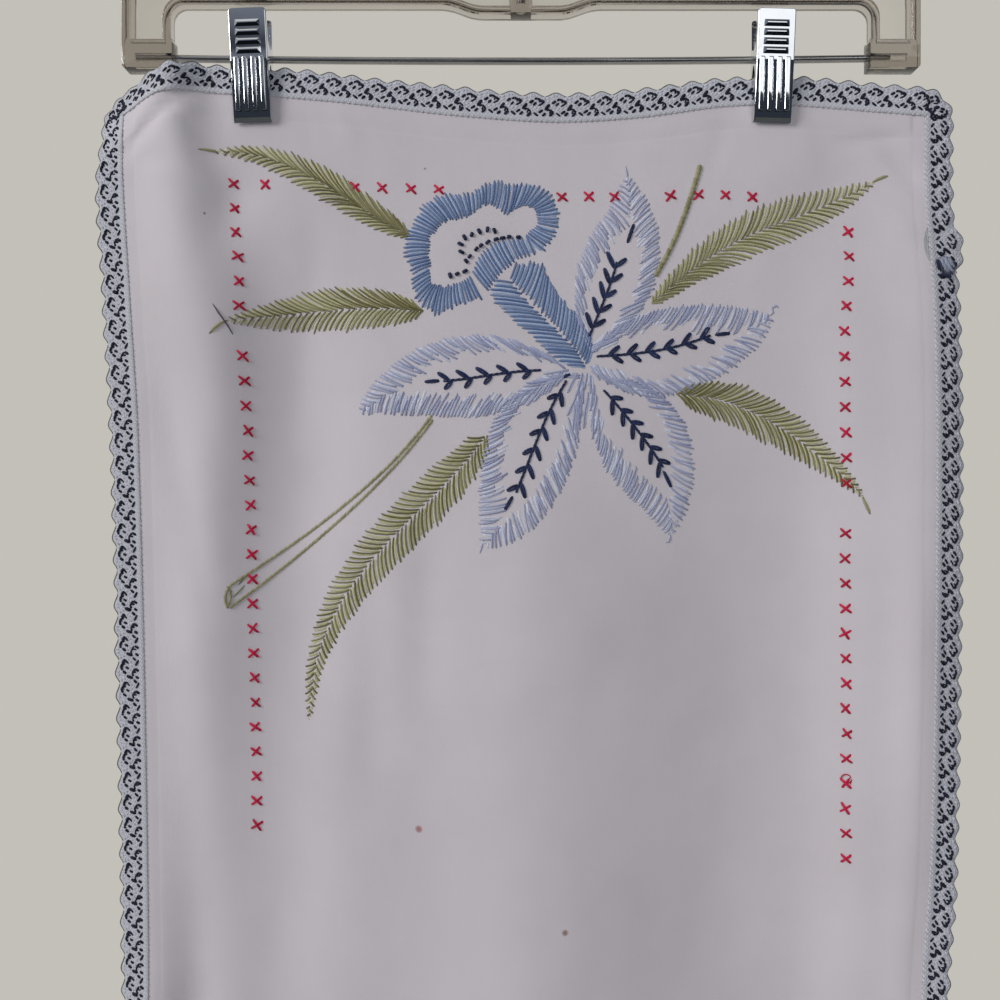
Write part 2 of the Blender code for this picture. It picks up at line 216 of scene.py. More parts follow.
def close_up():
    """Turns every face of the piece that is being edited outward, and leaves edit mode."""
    bpy.ops.mesh.select_all(action="SELECT")
    bpy.ops.mesh.normals_make_consistent(inside=False)
    bpy.ops.object.mode_set(mode="OBJECT")


def apply_modifier(piece, kind, **settings):
    """Adds a modifier with these settings and applies it."""
    alone(piece)
    modifier = piece.modifiers.new(kind.lower(), kind)
    for name, value in settings.items():
        setattr(modifier, name, value)
    bpy.ops.object.modifier_apply(modifier=modifier.name)


def new_piece(name, points, faces):
    """An object of these points and faces."""
    mesh = bpy.data.meshes.new(name)
    mesh.from_pydata(points, [], faces)
    made = bpy.data.objects.new(name, mesh)
    bpy.context.scene.collection.objects.link(made)
    return made


def settle(piece, name, finish, smooth=40):
    """Names a finished piece, puts its place into its mesh, smooths it and gives it its finish."""
    alone(piece)
    bpy.ops.object.transform_apply(location=True, rotation=True, scale=True)
    piece.name = name
    piece.data.name = name
    bpy.ops.object.shade_smooth_by_angle(angle=math.radians(smooth))
    piece.data.materials.clear()
    piece.data.materials.append(finish)
    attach(piece, "root")
    print(name, len(piece.data.polygons), "faces")
    return piece


# %% Nodes of a finish
def new_finish(name, colour, roughness, metallic=0.0):
    """An empty finish and its shader."""
    finish = bpy.data.materials.new(name)
    finish.use_nodes = True
    shader = finish.node_tree.nodes["Principled BSDF"]
    shader.inputs["Base Color"].default_value = (*colour, 1.0)
    shader.inputs["Roughness"].default_value = roughness
    shader.inputs["Metallic"].default_value = metallic
    return finish, shader


def node(finish, kind, **values):
    """A node with its properties and inputs set."""
    made = finish.node_tree.nodes.new("ShaderNode" + kind)
    for name, value in values.items():
        label = name.replace("_", " ").title()
        if hasattr(made, name):
            setattr(made, name, value)
        elif label in made.inputs:
            made.inputs[label].default_value = value
        else:
            raise KeyError(f"{kind} has no {name}")
    return made


def link(finish, source, target):
    finish.node_tree.links.new(source, target)


def pattern(finish, kind, source, **values):
    """A node whose vector comes from a socket: a texture, or a change of place."""
    made = node(finish, kind, **values)
    link(finish, source, made.inputs["Vector"])
    return made


def crossed_waves(finish, source, across, down, distortion):
    """Two fine waves at right angles, multiplied, as the threads of a cloth cross."""
    product = node(finish, "Math", operation="MULTIPLY")
    for way, scale, socket in (("X", across, 0), ("Y", down, 1)):
        wave = pattern(
            finish, "TexWave", source, bands_direction=way, scale=scale, distortion=distortion, detail=1.0
        )
        link(finish, wave.outputs["Fac"], product.inputs[socket])
    return product.outputs["Value"]


def blend_colours(finish, factor, first, second):
    """Mixes two colours by a socket; each colour is a tuple or a socket."""
    mix = finish.node_tree.nodes.new("ShaderNodeMix")
    mix.data_type = "RGBA"
    link(finish, factor, mix.inputs["Factor"])
    for place, colour in (("A", first), ("B", second)):
        if isinstance(colour, tuple):
            mix.inputs[place].default_value = (*colour, 1.0)
        else:
            link(finish, colour, mix.inputs[place])
    return mix.outputs["Result"]


def ramp(finish, source, low, high, start=0.0, end=1.0):
    """Maps one range of a socket to another, clamped."""
    made = node(finish, "MapRange", from_min=low, from_max=high, to_min=start, to_max=end)
    link(finish, source, made.inputs["Value"])
    return made.outputs["Result"]


def bump(finish, shader, height, strength, distance, before=None):
    """Turns a height socket into relief on the shader; returns the relief, to lay another on top."""
    made = node(finish, "Bump", strength=strength, distance=distance)
    link(finish, height, made.inputs["Height"])
    if before is not None:
        link(finish, before, made.inputs["Normal"])
    link(finish, made.outputs["Normal"], shader.inputs["Normal"])
    return made.outputs["Normal"]


# %% [markdown]
# ## Floor
# A plain pale floor, softly mottled, lies well below the runner and shows only in the views from above. There
# is no wall, so nothing stands behind the object.

# %% Floor
FLOOR_HEIGHT = -1.27
FLOOR_SIZE = 2.3
bpy.ops.mesh.primitive_plane_add(size=FLOOR_SIZE, location=(0, 0, FLOOR_HEIGHT))
floor = bpy.context.object
floor.name = "floor"
matt, matt_shader = new_finish("matt floor", (0.50, 0.49, 0.47), 0.85)
cloud = pattern(matt, "TexNoise", node(matt, "TexCoord").outputs["Object"], scale=3.0, detail=4.0)
mottled = blend_colours(matt, cloud.outputs["Fac"], (0.48, 0.47, 0.45), (0.53, 0.52, 0.50))
link(matt, mottled, matt_shader.inputs["Base Color"])
floor.data.materials.append(matt)

# %% [markdown]
# ## How the cloth hangs
# The cloth is thought of flat: "across" from its lengthwise middle and "down" from its top hem, in metres.
# One function, drape, says where each flat point hangs. The cloth, the edging and every stitch go through it,
# so they stay together. The tables hold the line of the top hem between the clips, the two side hems, and the
# soft folds.

# %% Sizes of the cloth and tables of its hang
CLOTH_WIDTH = 0.366
CLOTH_LENGTH = 0.892
CLOTH_TOP = -0.1335
TOP_HEM = [  # across, lift
    (-0.183, -0.0085),
    (-0.168, -0.0024),
    (-0.153, 0.0006),
    (-0.123, 0.0000),
    (-0.092, -0.0024),
    (-0.062, -0.0056),
    (-0.028, -0.0094),
    (0.015, -0.0120),
    (0.055, -0.0098),
    (0.090, -0.0052),
    (0.113, -0.0044),
    (0.140, -0.0058),
    (0.183, -0.0100),
]
SIDE_HEMS = [  # down, left, right
    (0.000, -0.1812, 0.1827),
    (0.040, -0.1797, 0.1826),
    (0.086, -0.1769, 0.1854),
    (0.153, -0.1733, 0.1868),
    (0.333, -0.1693, 0.1854),
    (0.400, -0.1684, 0.1822),
    (0.892, -0.1700, 0.1790),
]
FOLDS = [  # across at its start, bow halfway, across at its end, start, end, half width, depth away
    (-0.157, 0.000, -0.156, -0.100, 0.150, 0.017, -0.0078),
    (-0.136, 0.000, -0.180, 0.040, 0.520, 0.017, -0.0056),
    (-0.115, -0.004, -0.141, 0.012, 0.085, 0.011, 0.0028),
    (-0.104, 0.004, -0.130, 0.045, 0.560, 0.023, 0.0058),
    (-0.076, 0.000, -0.078, 0.170, 0.340, 0.011, 0.0012),
    (-0.004, 0.006, -0.020, 0.050, 1.100, 0.042, -0.0064),
    (0.106, -0.004, 0.102, 0.045, 1.100, 0.046, 0.0096),
    (0.144, 0.002, 0.140, 0.030, 1.050, 0.022, -0.0048),
    (0.172, 0.000, 0.170, 0.190, 0.960, 0.008, -0.0012),
    (-0.095, -0.006, -0.105, 0.420, 1.100, 0.034, 0.0070),
    (-0.175, 0.004, -0.168, 0.420, 1.050, 0.026, -0.0064),
]
FOLD_FADE = 4.5
CURLS = [  # across, down, reach, depth
    (-0.190, -0.010, 0.034, 0.0085),
    (0.192, 0.900, 0.050, 0.0060),
]
CLIPS = [  # name, place along the rod, tilt in degrees
    ("left", -0.1208, -2.1),
    ("right", 0.1128, 1.4),
]
GRIP_DEPTH = 0.0150
GRIP_FLAT = 0.0115
GRIP_FREE = 0.0360


# %% The drape
def smoothstep(low, high, value):
    share = min(1.0, max(0.0, (value - low) / (high - low)))
    return share * share * (3 - 2 * share)


def along(rows, place, column):
    """A smooth curve through one column of a table, straight beyond its ends."""
    places = [row[0] for row in rows]
    values = [row[column] for row in rows]
    last = len(rows) - 1
    slopes = []
    for index in range(last + 1):
        low = max(0, index - 1)
        high = min(last, index + 1)
        slopes.append((values[high] - values[low]) / (places[high] - places[low]))
    if place <= places[0]:
        return values[0] + slopes[0] * (place - places[0])
    if place >= places[last]:
        return values[last] + slopes[last] * (place - places[last])
    start = max(index for index in range(last) if places[index] <= place)
    length = places[start + 1] - places[start]
    share = (place - places[start]) / length
    rise = values[start + 1] - values[start]
    leave = slopes[start] * length - rise
    arrive = rise - slopes[start + 1] * length
    return values[start] + rise * share + share * (1 - share) * ((1 - share) * leave + share * arrive)


def slack(across, down):
    """0 where a clip holds the cloth flat, rising to 1 away from both clips."""
    free = 1.0
    for _, x, _ in CLIPS:
        top_left = SIDE_HEMS[0][1]
        top_right = SIDE_HEMS[0][2]
        held = CLOTH_WIDTH * ((x - top_left) / (top_right - top_left) - 0.5)
        distance = math.hypot(across - held, max(0.0, down - GRIP_DEPTH))
        free *= smoothstep(GRIP_FLAT, GRIP_FREE, distance)
    return free


def fold_depth(across, down):
    depth = 0.0
    for begins, bow, finishes, start, end, half_width, deep in FOLDS:
        share = min(1.0, max(0.0, (down - start) / (end - start)))
        middle = begins + (finishes - begins) * share + 4 * bow * share * (1 - share)
        fade = FOLD_FADE * half_width
        strength = smoothstep(start, start + fade, down) * (1 - smoothstep(end - fade, end, down))
        depth += deep * strength * math.exp(-(((across - middle) / half_width) ** 2))
    return depth


def curl_depth(across, down):
    return sum(
        deep * (1 - smoothstep(0.0, reach, math.hypot(across - corner, down - level)))
        for corner, level, reach, deep in CURLS
    )


# %% [markdown]
# ## Creases
# Washed cotton is never as smooth as a few folds make it. Short creases are pressed in near the top corners,
# where the clips pull the cloth, and a very shallow, slow unevenness runs over all of it. The last rows of
# the table are long and wide: they deepen or flatten a fold by a few millimetres. None of this is in the
# solid model. It is added here, in the same function, so that everything sewn on follows it.

# %% Creases and the finished drape
CREASES = [  # from (across, down), to (across, down), half width, depth away
    ((0.142, 0.017), (0.172, 0.012), 0.0026, 0.0009),
    ((0.163, 0.017), (0.178, 0.032), 0.0045, 0.0014),
    ((0.157, 0.043), (0.176, 0.057), 0.0028, -0.0009),
    ((-0.181, 0.021), (-0.148, 0.001), 0.0036, 0.0026),
    ((-0.174, 0.026), (-0.156, 0.034), 0.0030, 0.0007),
    ((-0.160, 0.006), (-0.146, 0.020), 0.0024, 0.0008),
    ((-0.146, 0.006), (-0.140, 0.018), 0.0022, -0.0006),
    ((-0.100, 0.004), (-0.096, 0.026), 0.0026, 0.0006),
    ((-0.085, 0.004), (-0.076, 0.020), 0.0030, -0.0005),
    ((0.094, 0.004), (0.085, 0.030), 0.0028, 0.0007),
    ((0.132, 0.004), (0.136, 0.024), 0.0026, 0.0007),
    ((-0.170, 0.120), (-0.150, 0.240), 0.0060, 0.0010),
    ((-0.095, 0.060), (-0.110, 0.150), 0.0070, 0.0006),
    ((0.136, 0.060), (0.134, 0.700), 0.0200, 0.0036),
    ((0.178, 0.020), (0.176, 0.360), 0.0160, -0.0048),
    ((-0.080, 0.180), (-0.082, 0.600), 0.0260, -0.0012),
    ((-0.106, 0.250), (-0.116, 0.620), 0.0230, -0.0034),
    ((-0.164, 0.270), (-0.160, 0.660), 0.0140, 0.0078),
    ((-0.050, 0.190), (-0.054, 0.270), 0.0100, 0.0013),
    ((0.152, 0.240), (0.152, 0.900), 0.0350, 0.0045),
]


SLOW_DEPTH = 0.0008
FINE_DEPTH = 0.00022
NEXT_PLACE = 0.0004  # how far beside and below a point facing looks


def crease_depth(across, down):
    depth = 0.0
    for (from_across, from_down), (to_across, to_down), half_width, deep in CREASES:
        run_across = to_across - from_across
        run_down = to_down - from_down
        length = math.hypot(run_across, run_down)
        share = ((across - from_across) * run_across + (down - from_down) * run_down) / length**2
        aside = ((across - from_across) * run_down - (down - from_down) * run_across) / length
        ends = smoothstep(-0.25, 0.35, share) * (1 - smoothstep(0.65, 1.25, share))
        depth += deep * ends * math.exp(-((aside / half_width) ** 2))
    return depth


def unevenness(across, down):
    slow = noise.noise(Vector((across * 16, down * 9, 3.1)))
    fine = noise.noise(Vector((across * 60, down * 42, 7.7)))
    return SLOW_DEPTH * slow + FINE_DEPTH * fine


def drape(across, down):
    """Where a flat point of the cloth or of its edging hangs."""
    left = along(SIDE_HEMS, down, 1)
    right = along(SIDE_HEMS, down, 2)
    free = slack(across, down)
    x = left + (right - left) * (across / CLOTH_WIDTH + 0.5)
    y = free * (fold_depth(across, down) + crease_depth(across, down) + unevenness(across, down))
    z = CLOTH_TOP + along(TOP_HEM, across, 1) - down
    return Vector((x, y + curl_depth(across, down), z))


def facing(across, down):
    """The hanging point and the direction that its front faces."""
    here = drape(across, down)
    beside = drape(across + NEXT_PLACE, down) - here
    below = drape(across, down + NEXT_PLACE) - here
    return here, below.cross(beside).normalized()


print("cloth hangs from", round(drape(0, 0).z, 4), "to", round(drape(0, CLOTH_LENGTH).z, 4))

# %% [markdown]
# ## The cotton sheet
# The runner is one sheet with its edges folded to the back and sewn down: about 8 mm at the sides and 13 mm
# at the top. It could be a plain grid with a solidify modifier, but then the hems would not show. So the grid
# gets extra lines where the hem ends, and each point is given its own thickness: one layer in the middle,
# three in the hems, with a shallow groove where the hem is sewn. Front, back and rim close it into one solid
# sheet.

# %% Lines of the cloth's grid
SIDE_HEM_LINES = [0.0, 0.0005, 0.0022, 0.0046, 0.0068, 0.0076, 0.0082, 0.0090, 0.0105]
END_HEM_LINES = [0.0, 0.0005, 0.0030, 0.0060, 0.0092, 0.0118, 0.0126, 0.0132, 0.0140, 0.0155]
SIDE_HEM = 0.0082
END_HEM = 0.0132


def spaced(start, end, pitch):
    count = max(1, round((end - start) / pitch))
    return [start + (end - start) * step / count for step in range(1, count)]


FINE_PITCH = 0.0034
COARSE_PITCH = 0.0052
FINE_TO = 0.440
half = CLOTH_WIDTH / 2
left_lines = [line - half for line in SIDE_HEM_LINES]
right_lines = [half - line for line in reversed(SIDE_HEM_LINES)]
columns = left_lines + spaced(left_lines[-1], right_lines[0], FINE_PITCH) + right_lines
lower_lines = [CLOTH_LENGTH - line for line in reversed(END_HEM_LINES)]
rows = END_HEM_LINES + spaced(END_HEM_LINES[-1], FINE_TO, FINE_PITCH)
rows += [FINE_TO] + spaced(FINE_TO, lower_lines[0], COARSE_PITCH) + lower_lines
print(len(columns), "lines across,", len(rows), "down")


# %% The sheet
HEM_TURN = 0.0006  # how fast the layers of a hem end
SEWN_INSIDE = 0.0010  # the line of sewing, from the end of the hem
FRONT = (0.00022, 0.00024, 0.00030)  # thickness before the drape, more in a hem, less where it is sewn
BACK = (0.00022, 0.00062, 0.00025)  # the same behind the drape, where the hem is folded


def hem_share(across, down):
    """How much a place is inside a hem, how close the line of sewing is, and how far the rim."""
    side = half - abs(across)
    end = min(down, CLOTH_LENGTH - down)
    inside = max(
        1 - smoothstep(SIDE_HEM - HEM_TURN, SIDE_HEM, side), 1 - smoothstep(END_HEM - HEM_TURN, END_HEM, end)
    )
    sewn = min(abs(side - SIDE_HEM + SEWN_INSIDE), abs(end - END_HEM + SEWN_INSIDE))
    return inside, 1 - smoothstep(0.0003, 0.0013, sewn), min(side, end)


def make_sheet():
    front = []
    back = []
    flat = [(across, down) for down in rows for across in columns]
    for across, down in flat:
        here, normal = facing(across, down)
        hem, groove, rim = hem_share(across, down)
        rounded = 0.45 + 0.55 * smoothstep(0.0, 0.0005, rim)
        for points, way, (plain, folded, sewn) in ((front, 1, FRONT), (back, -1, BACK)):
            points.append(here + normal * (plain + folded * hem - sewn * groove * hem) * rounded * way)
    wide = len(columns)
    tall = len(rows)
    total = wide * tall
    faces = []
    for row in range(tall - 1):
        for column in range(wide - 1):
            corner = row * wide + column
            ring = (corner, corner + wide, corner + wide + 1, corner + 1)
            faces.append(ring)
            faces.append(tuple(index + total for index in reversed(ring)))
    rim = list(range(wide))
    rim += [row * wide + wide - 1 for row in range(1, tall)]
    rim += [(tall - 1) * wide + column for column in range(wide - 2, -1, -1)]
    rim += [row * wide for row in range(tall - 2, 0, -1)]
    for start, end in zip(rim, rim[1:] + rim[:1]):
        faces.append((start, end, end + total, start + total))
    sheet = new_piece("cotton sheet", front + back, faces)
    chart = sheet.data.uv_layers.new(name="flat cloth")
    for loop in sheet.data.loops:
        across, down = flat[loop.vertex_index % total]
        chart.data[loop.index].uv = (across, -down)
    return sheet


cloth = make_sheet()

# %% [markdown]
# ## Cotton finish
# The cloth is a white that reads slightly lavender in cool light. Two fine waves, one along each thread
# direction, give the plain weave its relief; slow noise thickens some threads, and clouds of a slightly
# warmer white keep it from being flat. A few old marks are part of this cloth: one pink, one brown, and tiny
# dark specks. Everything is placed on the flat cloth's own chart, so the weave follows the folds.

# %% Cotton
COTTON_LIGHT = (0.730, 0.688, 0.730)
COTTON_SHADE = (0.688, 0.645, 0.684)
COTTON_SLUB = (0.80, 0.76, 0.80)
MARKS = [  # across, down, radius, colour
    (-0.0554, 0.3243, 0.0016, (0.42, 0.16, 0.17)),
    (0.0123, 0.3636, 0.0014, (0.30, 0.17, 0.14)),
    (-0.1446, 0.0570, 0.0006, (0.20, 0.18, 0.20)),
    (-0.0446, 0.0272, 0.0005, (0.20, 0.18, 0.20)),
]
cotton, cotton_shader = new_finish("washed white cotton", COTTON_LIGHT, 0.88)
cotton_shader.inputs["Sheen Weight"].default_value = 0.25
cotton_shader.inputs["Sheen Roughness"].default_value = 0.5
chart = node(cotton, "UVMap", uv_map="flat cloth").outputs["UV"]
cloud = pattern(cotton, "TexNoise", chart, scale=14.0, detail=5.0, roughness=0.6)
tone = blend_colours(cotton, ramp(cotton, cloud.outputs["Fac"], 0.35, 0.65), COTTON_SHADE, COTTON_LIGHT)
along_warp = pattern(cotton, "Mapping", chart, scale=(2600.0, 90.0, 1.0))
slub = pattern(cotton, "TexNoise", along_warp.outputs["Vector"], scale=1.0, detail=3.0).outputs["Fac"]
tone = blend_colours(cotton, ramp(cotton, slub, 0.55, 0.85, 0.0, 0.30), tone, COTTON_SLUB)
for across, down, radius, colour in MARKS:
    away = node(cotton, "VectorMath", operation="DISTANCE")
    away.inputs[1].default_value = (across, -down, 0.0)
    link(cotton, chart, away.inputs[0])
    spot = ramp(cotton, away.outputs["Value"], radius * 0.55, radius * 1.25, 0.85, 0.0)
    tone = blend_colours(cotton, spot, tone, colour)
link(cotton, tone, cotton_shader.inputs["Base Color"])

# %% Weave relief
weave = crossed_waves(cotton, chart, 440.0, 440.0, 0.6)
relief = bump(cotton, cotton_shader, weave, 0.20, 0.00012)
bump(cotton, cotton_shader, slub, 0.18, 0.00012, relief)
settle(cloth, "cotton_runner", cotton, smooth=55)
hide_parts("runner_cloth")

# %% [markdown]
# ## Laying a thread
# Every stitch, every raised bar of the edging and every sewing thread is the same thing: a short length of
# yarn that comes up through the cloth, lies on it and goes down again. One helper lays such a thread along a
# flat line. It is a six-sided tube, flattened, that follows the hanging cloth and dives in at both ends. Each
# thread carries two numbers for its finish: its shade, since the yarn changes colour along the skein, and how
# near a hole it is, where its colour is darkened as painted shade. Thousands of them would be slow as
# separate objects, so one mesh holds all the threads of one colour.

# %% A thread on the cloth
SIDES = 6
CORNER_ANGLES = [2 * math.pi * side / SIDES for side in range(SIDES)]
ROUND = [(math.cos(angle), math.sin(angle)) for angle in CORNER_ANGLES]
CLOTH_FACE = 0.00022  # how far in front of the drape the cloth's face lies
DIVE = 0.00032  # how far below its ground a thread's end goes
END_WIDTH = 0.55
SUNK = 0.30  # how much of its height a thread's middle rises above its ground


def new_skein():
    return {"points": [], "faces": [], "charts": [], "shade": [], "hole": []}


def lay(skein, line, width, shade=0.5, lift=0.0, height=0.62, dive=True, ground=CLOTH_FACE):
    """Lays one thread along flat points.

    Ground is what it lies on, and lift raises its middle over what it crosses.
    """
    last = len(line) - 1
    first = len(skein["points"])
    travelled = 0.0
    for index, (across, down) in enumerate(line):
        here, normal = facing(across, down)
        ahead = (drape(*line[min(last, index + 1)]) - drape(*line[max(0, index - 1)])).normalized()
        aside = ahead.cross(normal).normalized()
        end = index in (0, last)
        wide = width * (END_WIDTH if end else 1.0)
        tall = wide * height
        rise = ground + tall * SUNK + lift * math.sin(math.pi * index / last)
        if end and dive:
            rise = ground - DIVE
        for cosine, sine in ROUND:
            skein["points"].append(here + normal * (rise + sine * tall / 2) + aside * cosine * wide / 2)
            skein["shade"].append(shade)
            skein["hole"].append(1.0 if end else 0.0)
        if not index:
            continue
        before = travelled
        travelled += math.dist(line[index - 1], line[index])
        start = first + SIDES * (index - 1)
        for side in range(SIDES):
            near = start + side
            far = start + (side + 1) % SIDES
            skein["faces"].append((near, near + SIDES, far + SIDES, far))
            low = side / SIDES
            high = (side + 1) / SIDES
            skein["charts"].append(((before, low), (travelled, low), (travelled, high), (before, high)))
    final = len(skein["points"]) - SIDES
    skein["faces"].append(tuple(range(first, first + SIDES)))
    skein["faces"].append(tuple(reversed(range(final, final + SIDES))))
    skein["charts"] += [((0.0, 0.0),) * SIDES, ((travelled, 0.0),) * SIDES]


def course(start, end):
    """The way from one flat point to another, its length, and the direction square to it."""
    run = (end[0] - start[0], end[1] - start[1])
    length = math.hypot(*run) or 1e-9
    return run, length, (-run[1] / length, run[0] / length)


def moved(place, *steps):
    """A flat point, moved along each of these (direction, distance) pairs."""
    return tuple(place[axis] + sum(way[axis] * far for way, far in steps) for axis in (0, 1))


def bowed(start, end, bow=0.0, shares=(0.0, 0.13, 0.5, 0.87, 1.0)):
    """Flat points of a stitch from start to end that bows sideways a little."""
    run, _, aside = course(start, end)
    return [moved(start, (run, share), (aside, 4 * bow * share * (1 - share))) for share in shares]


def make_threads(name, skein, finish):
    """One mesh of all the threads in a skein."""
    made = new_piece(name, skein["points"], skein["faces"])
    chart = made.data.uv_layers.new(name="thread")
    flat = [value for corners in skein["charts"] for corner in corners for value in corner]
    chart.data.foreach_set("uv", flat)
    for quality in ("shade", "hole"):
        kept = made.data.attributes.new(quality, "FLOAT", "POINT")
        kept.data.foreach_set("value", skein[quality])
    return settle(made, name, finish, smooth=70)


# %% [markdown]
# ## Thread finishes
# Stranded cotton has a soft shine and shows its fine strands, slightly twisted, with painted shade in the
# grooves between them. The colour runs between two tones by each stitch's shade, and a darker tone is painted
# as shade where the thread dips into its hole.

# %% Stranded cotton
# The last colour is painted shade, used where a thread dips into its hole.
def thread_finish(name, dark, light, hole, roughness=0.55, strands=3.0, sheen=0.20):
    finish, shader = new_finish(name, light, roughness)
    shader.inputs["Sheen Weight"].default_value = sheen
    shade = node(finish, "Attribute", attribute_name="shade")
    tone = blend_colours(finish, shade.outputs["Fac"], dark, light)
    chart = node(finish, "UVMap", uv_map="thread")
    twist = pattern(finish, "Mapping", chart.outputs["UV"], scale=(260.0, strands, 1.0))
    plies = pattern(
        finish, "TexWave", twist.outputs["Vector"], bands_direction="DIAGONAL", scale=1.0, distortion=0.4
    ).outputs["Fac"]
    # painted shade: the grooves between the twisted plies are given a darker colour
    ply_groove_shade = tuple(value * 0.72 for value in dark)
    tone = blend_colours(finish, ramp(finish, plies, 0.0, 0.45, 0.30, 0.0), tone, ply_groove_shade)
    # painted shade: the colour darkens towards each thread's ends, where it dips into the cloth
    near = node(finish, "Attribute", attribute_name="hole")
    tone = blend_colours(finish, ramp(finish, near.outputs["Fac"], 0.15, 1.0, 0.0, 0.85), tone, hole)
    link(finish, tone, shader.inputs["Base Color"])
    bump(finish, shader, plies, 0.35, 0.00015)
    return finish


# %% [markdown]
# ## The knitted edging
# A narrow band of blue-and-white knitting is sewn round all four hems, its outer line in shallow scallops.
# The band is described by turns: one turn is one scallop, counted clockwise from the top left corner, with
# two turns fanned round each corner. The same description carries the band itself, its edge cord, and the
# navy bars of its pattern, so the pattern keeps step with the scallops all the way round.

# %% Places on the edging
SCALLOPS_ACROSS = 36
SCALLOPS_DOWN = 88
TURNS = 2 * (SCALLOPS_ACROSS + SCALLOPS_DOWN) + 8
BAND_PEAK = 0.0114
BAND_VALLEY = 0.0096
BAND_OVERLAP = 0.0020
HEM_COVER = 0.00045
JOIN_DOWN = 0.059
JOIN_HALF_LENGTH = 0.012
JOIN_BULGE = 0.0036
CORNER_TUCK = 0.22
TUCKED_WITHIN = (0.006, 0.034)
BAND_UNEVEN = 0.045
CORNERS = [(-half, 0.0), (half, 0.0), (half, CLOTH_LENGTH), (-half, CLOTH_LENGTH)]
OUTWARDS = [(0.0, -1.0), (1.0, 0.0), (0.0, 1.0), (-1.0, 0.0)]


def seam(turn):
    """The flat point where the band is sewn on, and the direction it reaches in."""
    turn %= TURNS
    side = 0
    count = SCALLOPS_ACROSS
    while turn >= count + 2:
        turn -= count + 2
        side += 1
        count = SCALLOPS_DOWN if side % 2 else SCALLOPS_ACROSS
    outward = Vector(OUTWARDS[side])
    start = Vector(CORNERS[side])
    end = Vector(CORNERS[(side + 1) % 4])
    if turn < count:
        return start.lerp(end, turn / count) - outward * BAND_OVERLAP, outward
    following = Vector(OUTWARDS[(side + 1) % 4])
    angle = math.radians(45 * (turn - count))
    pivot = end - (outward + following) * BAND_OVERLAP
    return pivot, outward * math.cos(angle) + following * math.sin(angle)


def reach(turn):
    """How far the band reaches: a round scallop, drawn in at the curled corner, bulging at the join."""
    point, outward = seam(turn)
    wave = 0.5 - 0.5 * math.cos(2 * math.pi * turn)
    far = BAND_VALLEY + (BAND_PEAK - BAND_VALLEY) * wave
    far *= 1 + BAND_UNEVEN * noise.noise(Vector((turn * 0.31, 2.0, 5.0)))
    far *= 1 - CORNER_TUCK * (1 - smoothstep(*TUCKED_WITHIN, math.hypot(point.x + half, point.y)))
    if outward.x > 0.9:
        far += JOIN_BULGE * (1 - smoothstep(0.3, 1.0, abs(point.y - JOIN_DOWN) / JOIN_HALF_LENGTH))
    return far + BAND_OVERLAP


def on_band(turn, out):
    """A flat point of the band, out metres from its seam."""
    point, outward = seam(turn)
    return tuple(point + outward * out)


def band_rise(out):
    """How far forward the middle of the band lies: next to its seam it covers the hem."""
    return 0.00012 + HEM_COVER * (1 - smoothstep(0.0012, 0.0034, out))


print(TURNS, "scallops round the runner")

# %% The band
BAND_ROWS = [  # share of the reach, half thickness
    (0.00, 0.00022),
    (0.03, 0.00042),
    (0.09, 0.00046),
    (0.15, 0.00046),
    (0.21, 0.00052),
    (0.28, 0.00064),
    (0.55, 0.00068),
    (0.86, 0.00060),
    (0.91, 0.00044),
    (0.98, 0.00038),
    (1.00, 0.00018),
]
BAND_STEPS = 10
SCALLOP_LENGTH = 0.0102


def make_band():
    points = []
    flat = []
    faces = []
    count = TURNS * BAND_STEPS
    for step in range(count):
        turn = step / BAND_STEPS
        far = reach(turn)
        for face in (1, -1):
            for share, thick in BAND_ROWS:
                here, normal = facing(*on_band(turn, share * far))
                points.append(here + normal * (thick * face + band_rise(share * far)))
                flat.append((turn * SCALLOP_LENGTH, share * far))
    tall = len(BAND_ROWS)
    wide = 2 * tall
    ring = list(range(tall)) + list(range(wide - 1, tall - 1, -1))
    for step in range(count):
        start = step * wide
        after = (step + 1) % count * wide
        for low, high in zip(ring, ring[1:] + ring[:1]):
            faces.append((start + low, start + high, after + high, after + low))
    made = new_piece("band", points, faces)
    chart = made.data.uv_layers.new(name="flat band")
    for loop in made.data.loops:
        chart.data[loop.index].uv = flat[loop.vertex_index]
    edit(made)
    bpy.ops.mesh.select_all(action="SELECT")
    bpy.ops.mesh.remove_doubles(threshold=1e-6)
    close_up()
    return made


band = make_band()

# %% [markdown]
# ## Knitted ground
# The pale ground of the band is yarn too. A fine checker of small humps on the band's own chart gives it the
# look of knitting, and it is tinted a cool grey-lavender, with painted shade in the hollows between the
# loops.

# %% Knit
knit, knit_shader = new_finish("pale knit", (0.56, 0.55, 0.62), 0.85)
chart = node(knit, "UVMap", uv_map="flat band")
slanted = pattern(knit, "Mapping", chart.outputs["UV"], rotation=(0.0, 0.0, math.radians(38)))
loops = crossed_waves(knit, slanted.outputs["Vector"], 230.0, 260.0, 1.2)
# painted shade: the hollows between the loops get the darker colour
knit_tone = blend_colours(knit, ramp(knit, loops, 0.0, 0.3), (0.54, 0.55, 0.61), (0.68, 0.69, 0.76))
link(knit, knit_tone, knit_shader.inputs["Base Color"])
bump(knit, knit_shader, loops, 0.45, 0.0003)
settle(band, "edging_band", knit, smooth=60)
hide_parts("edging")
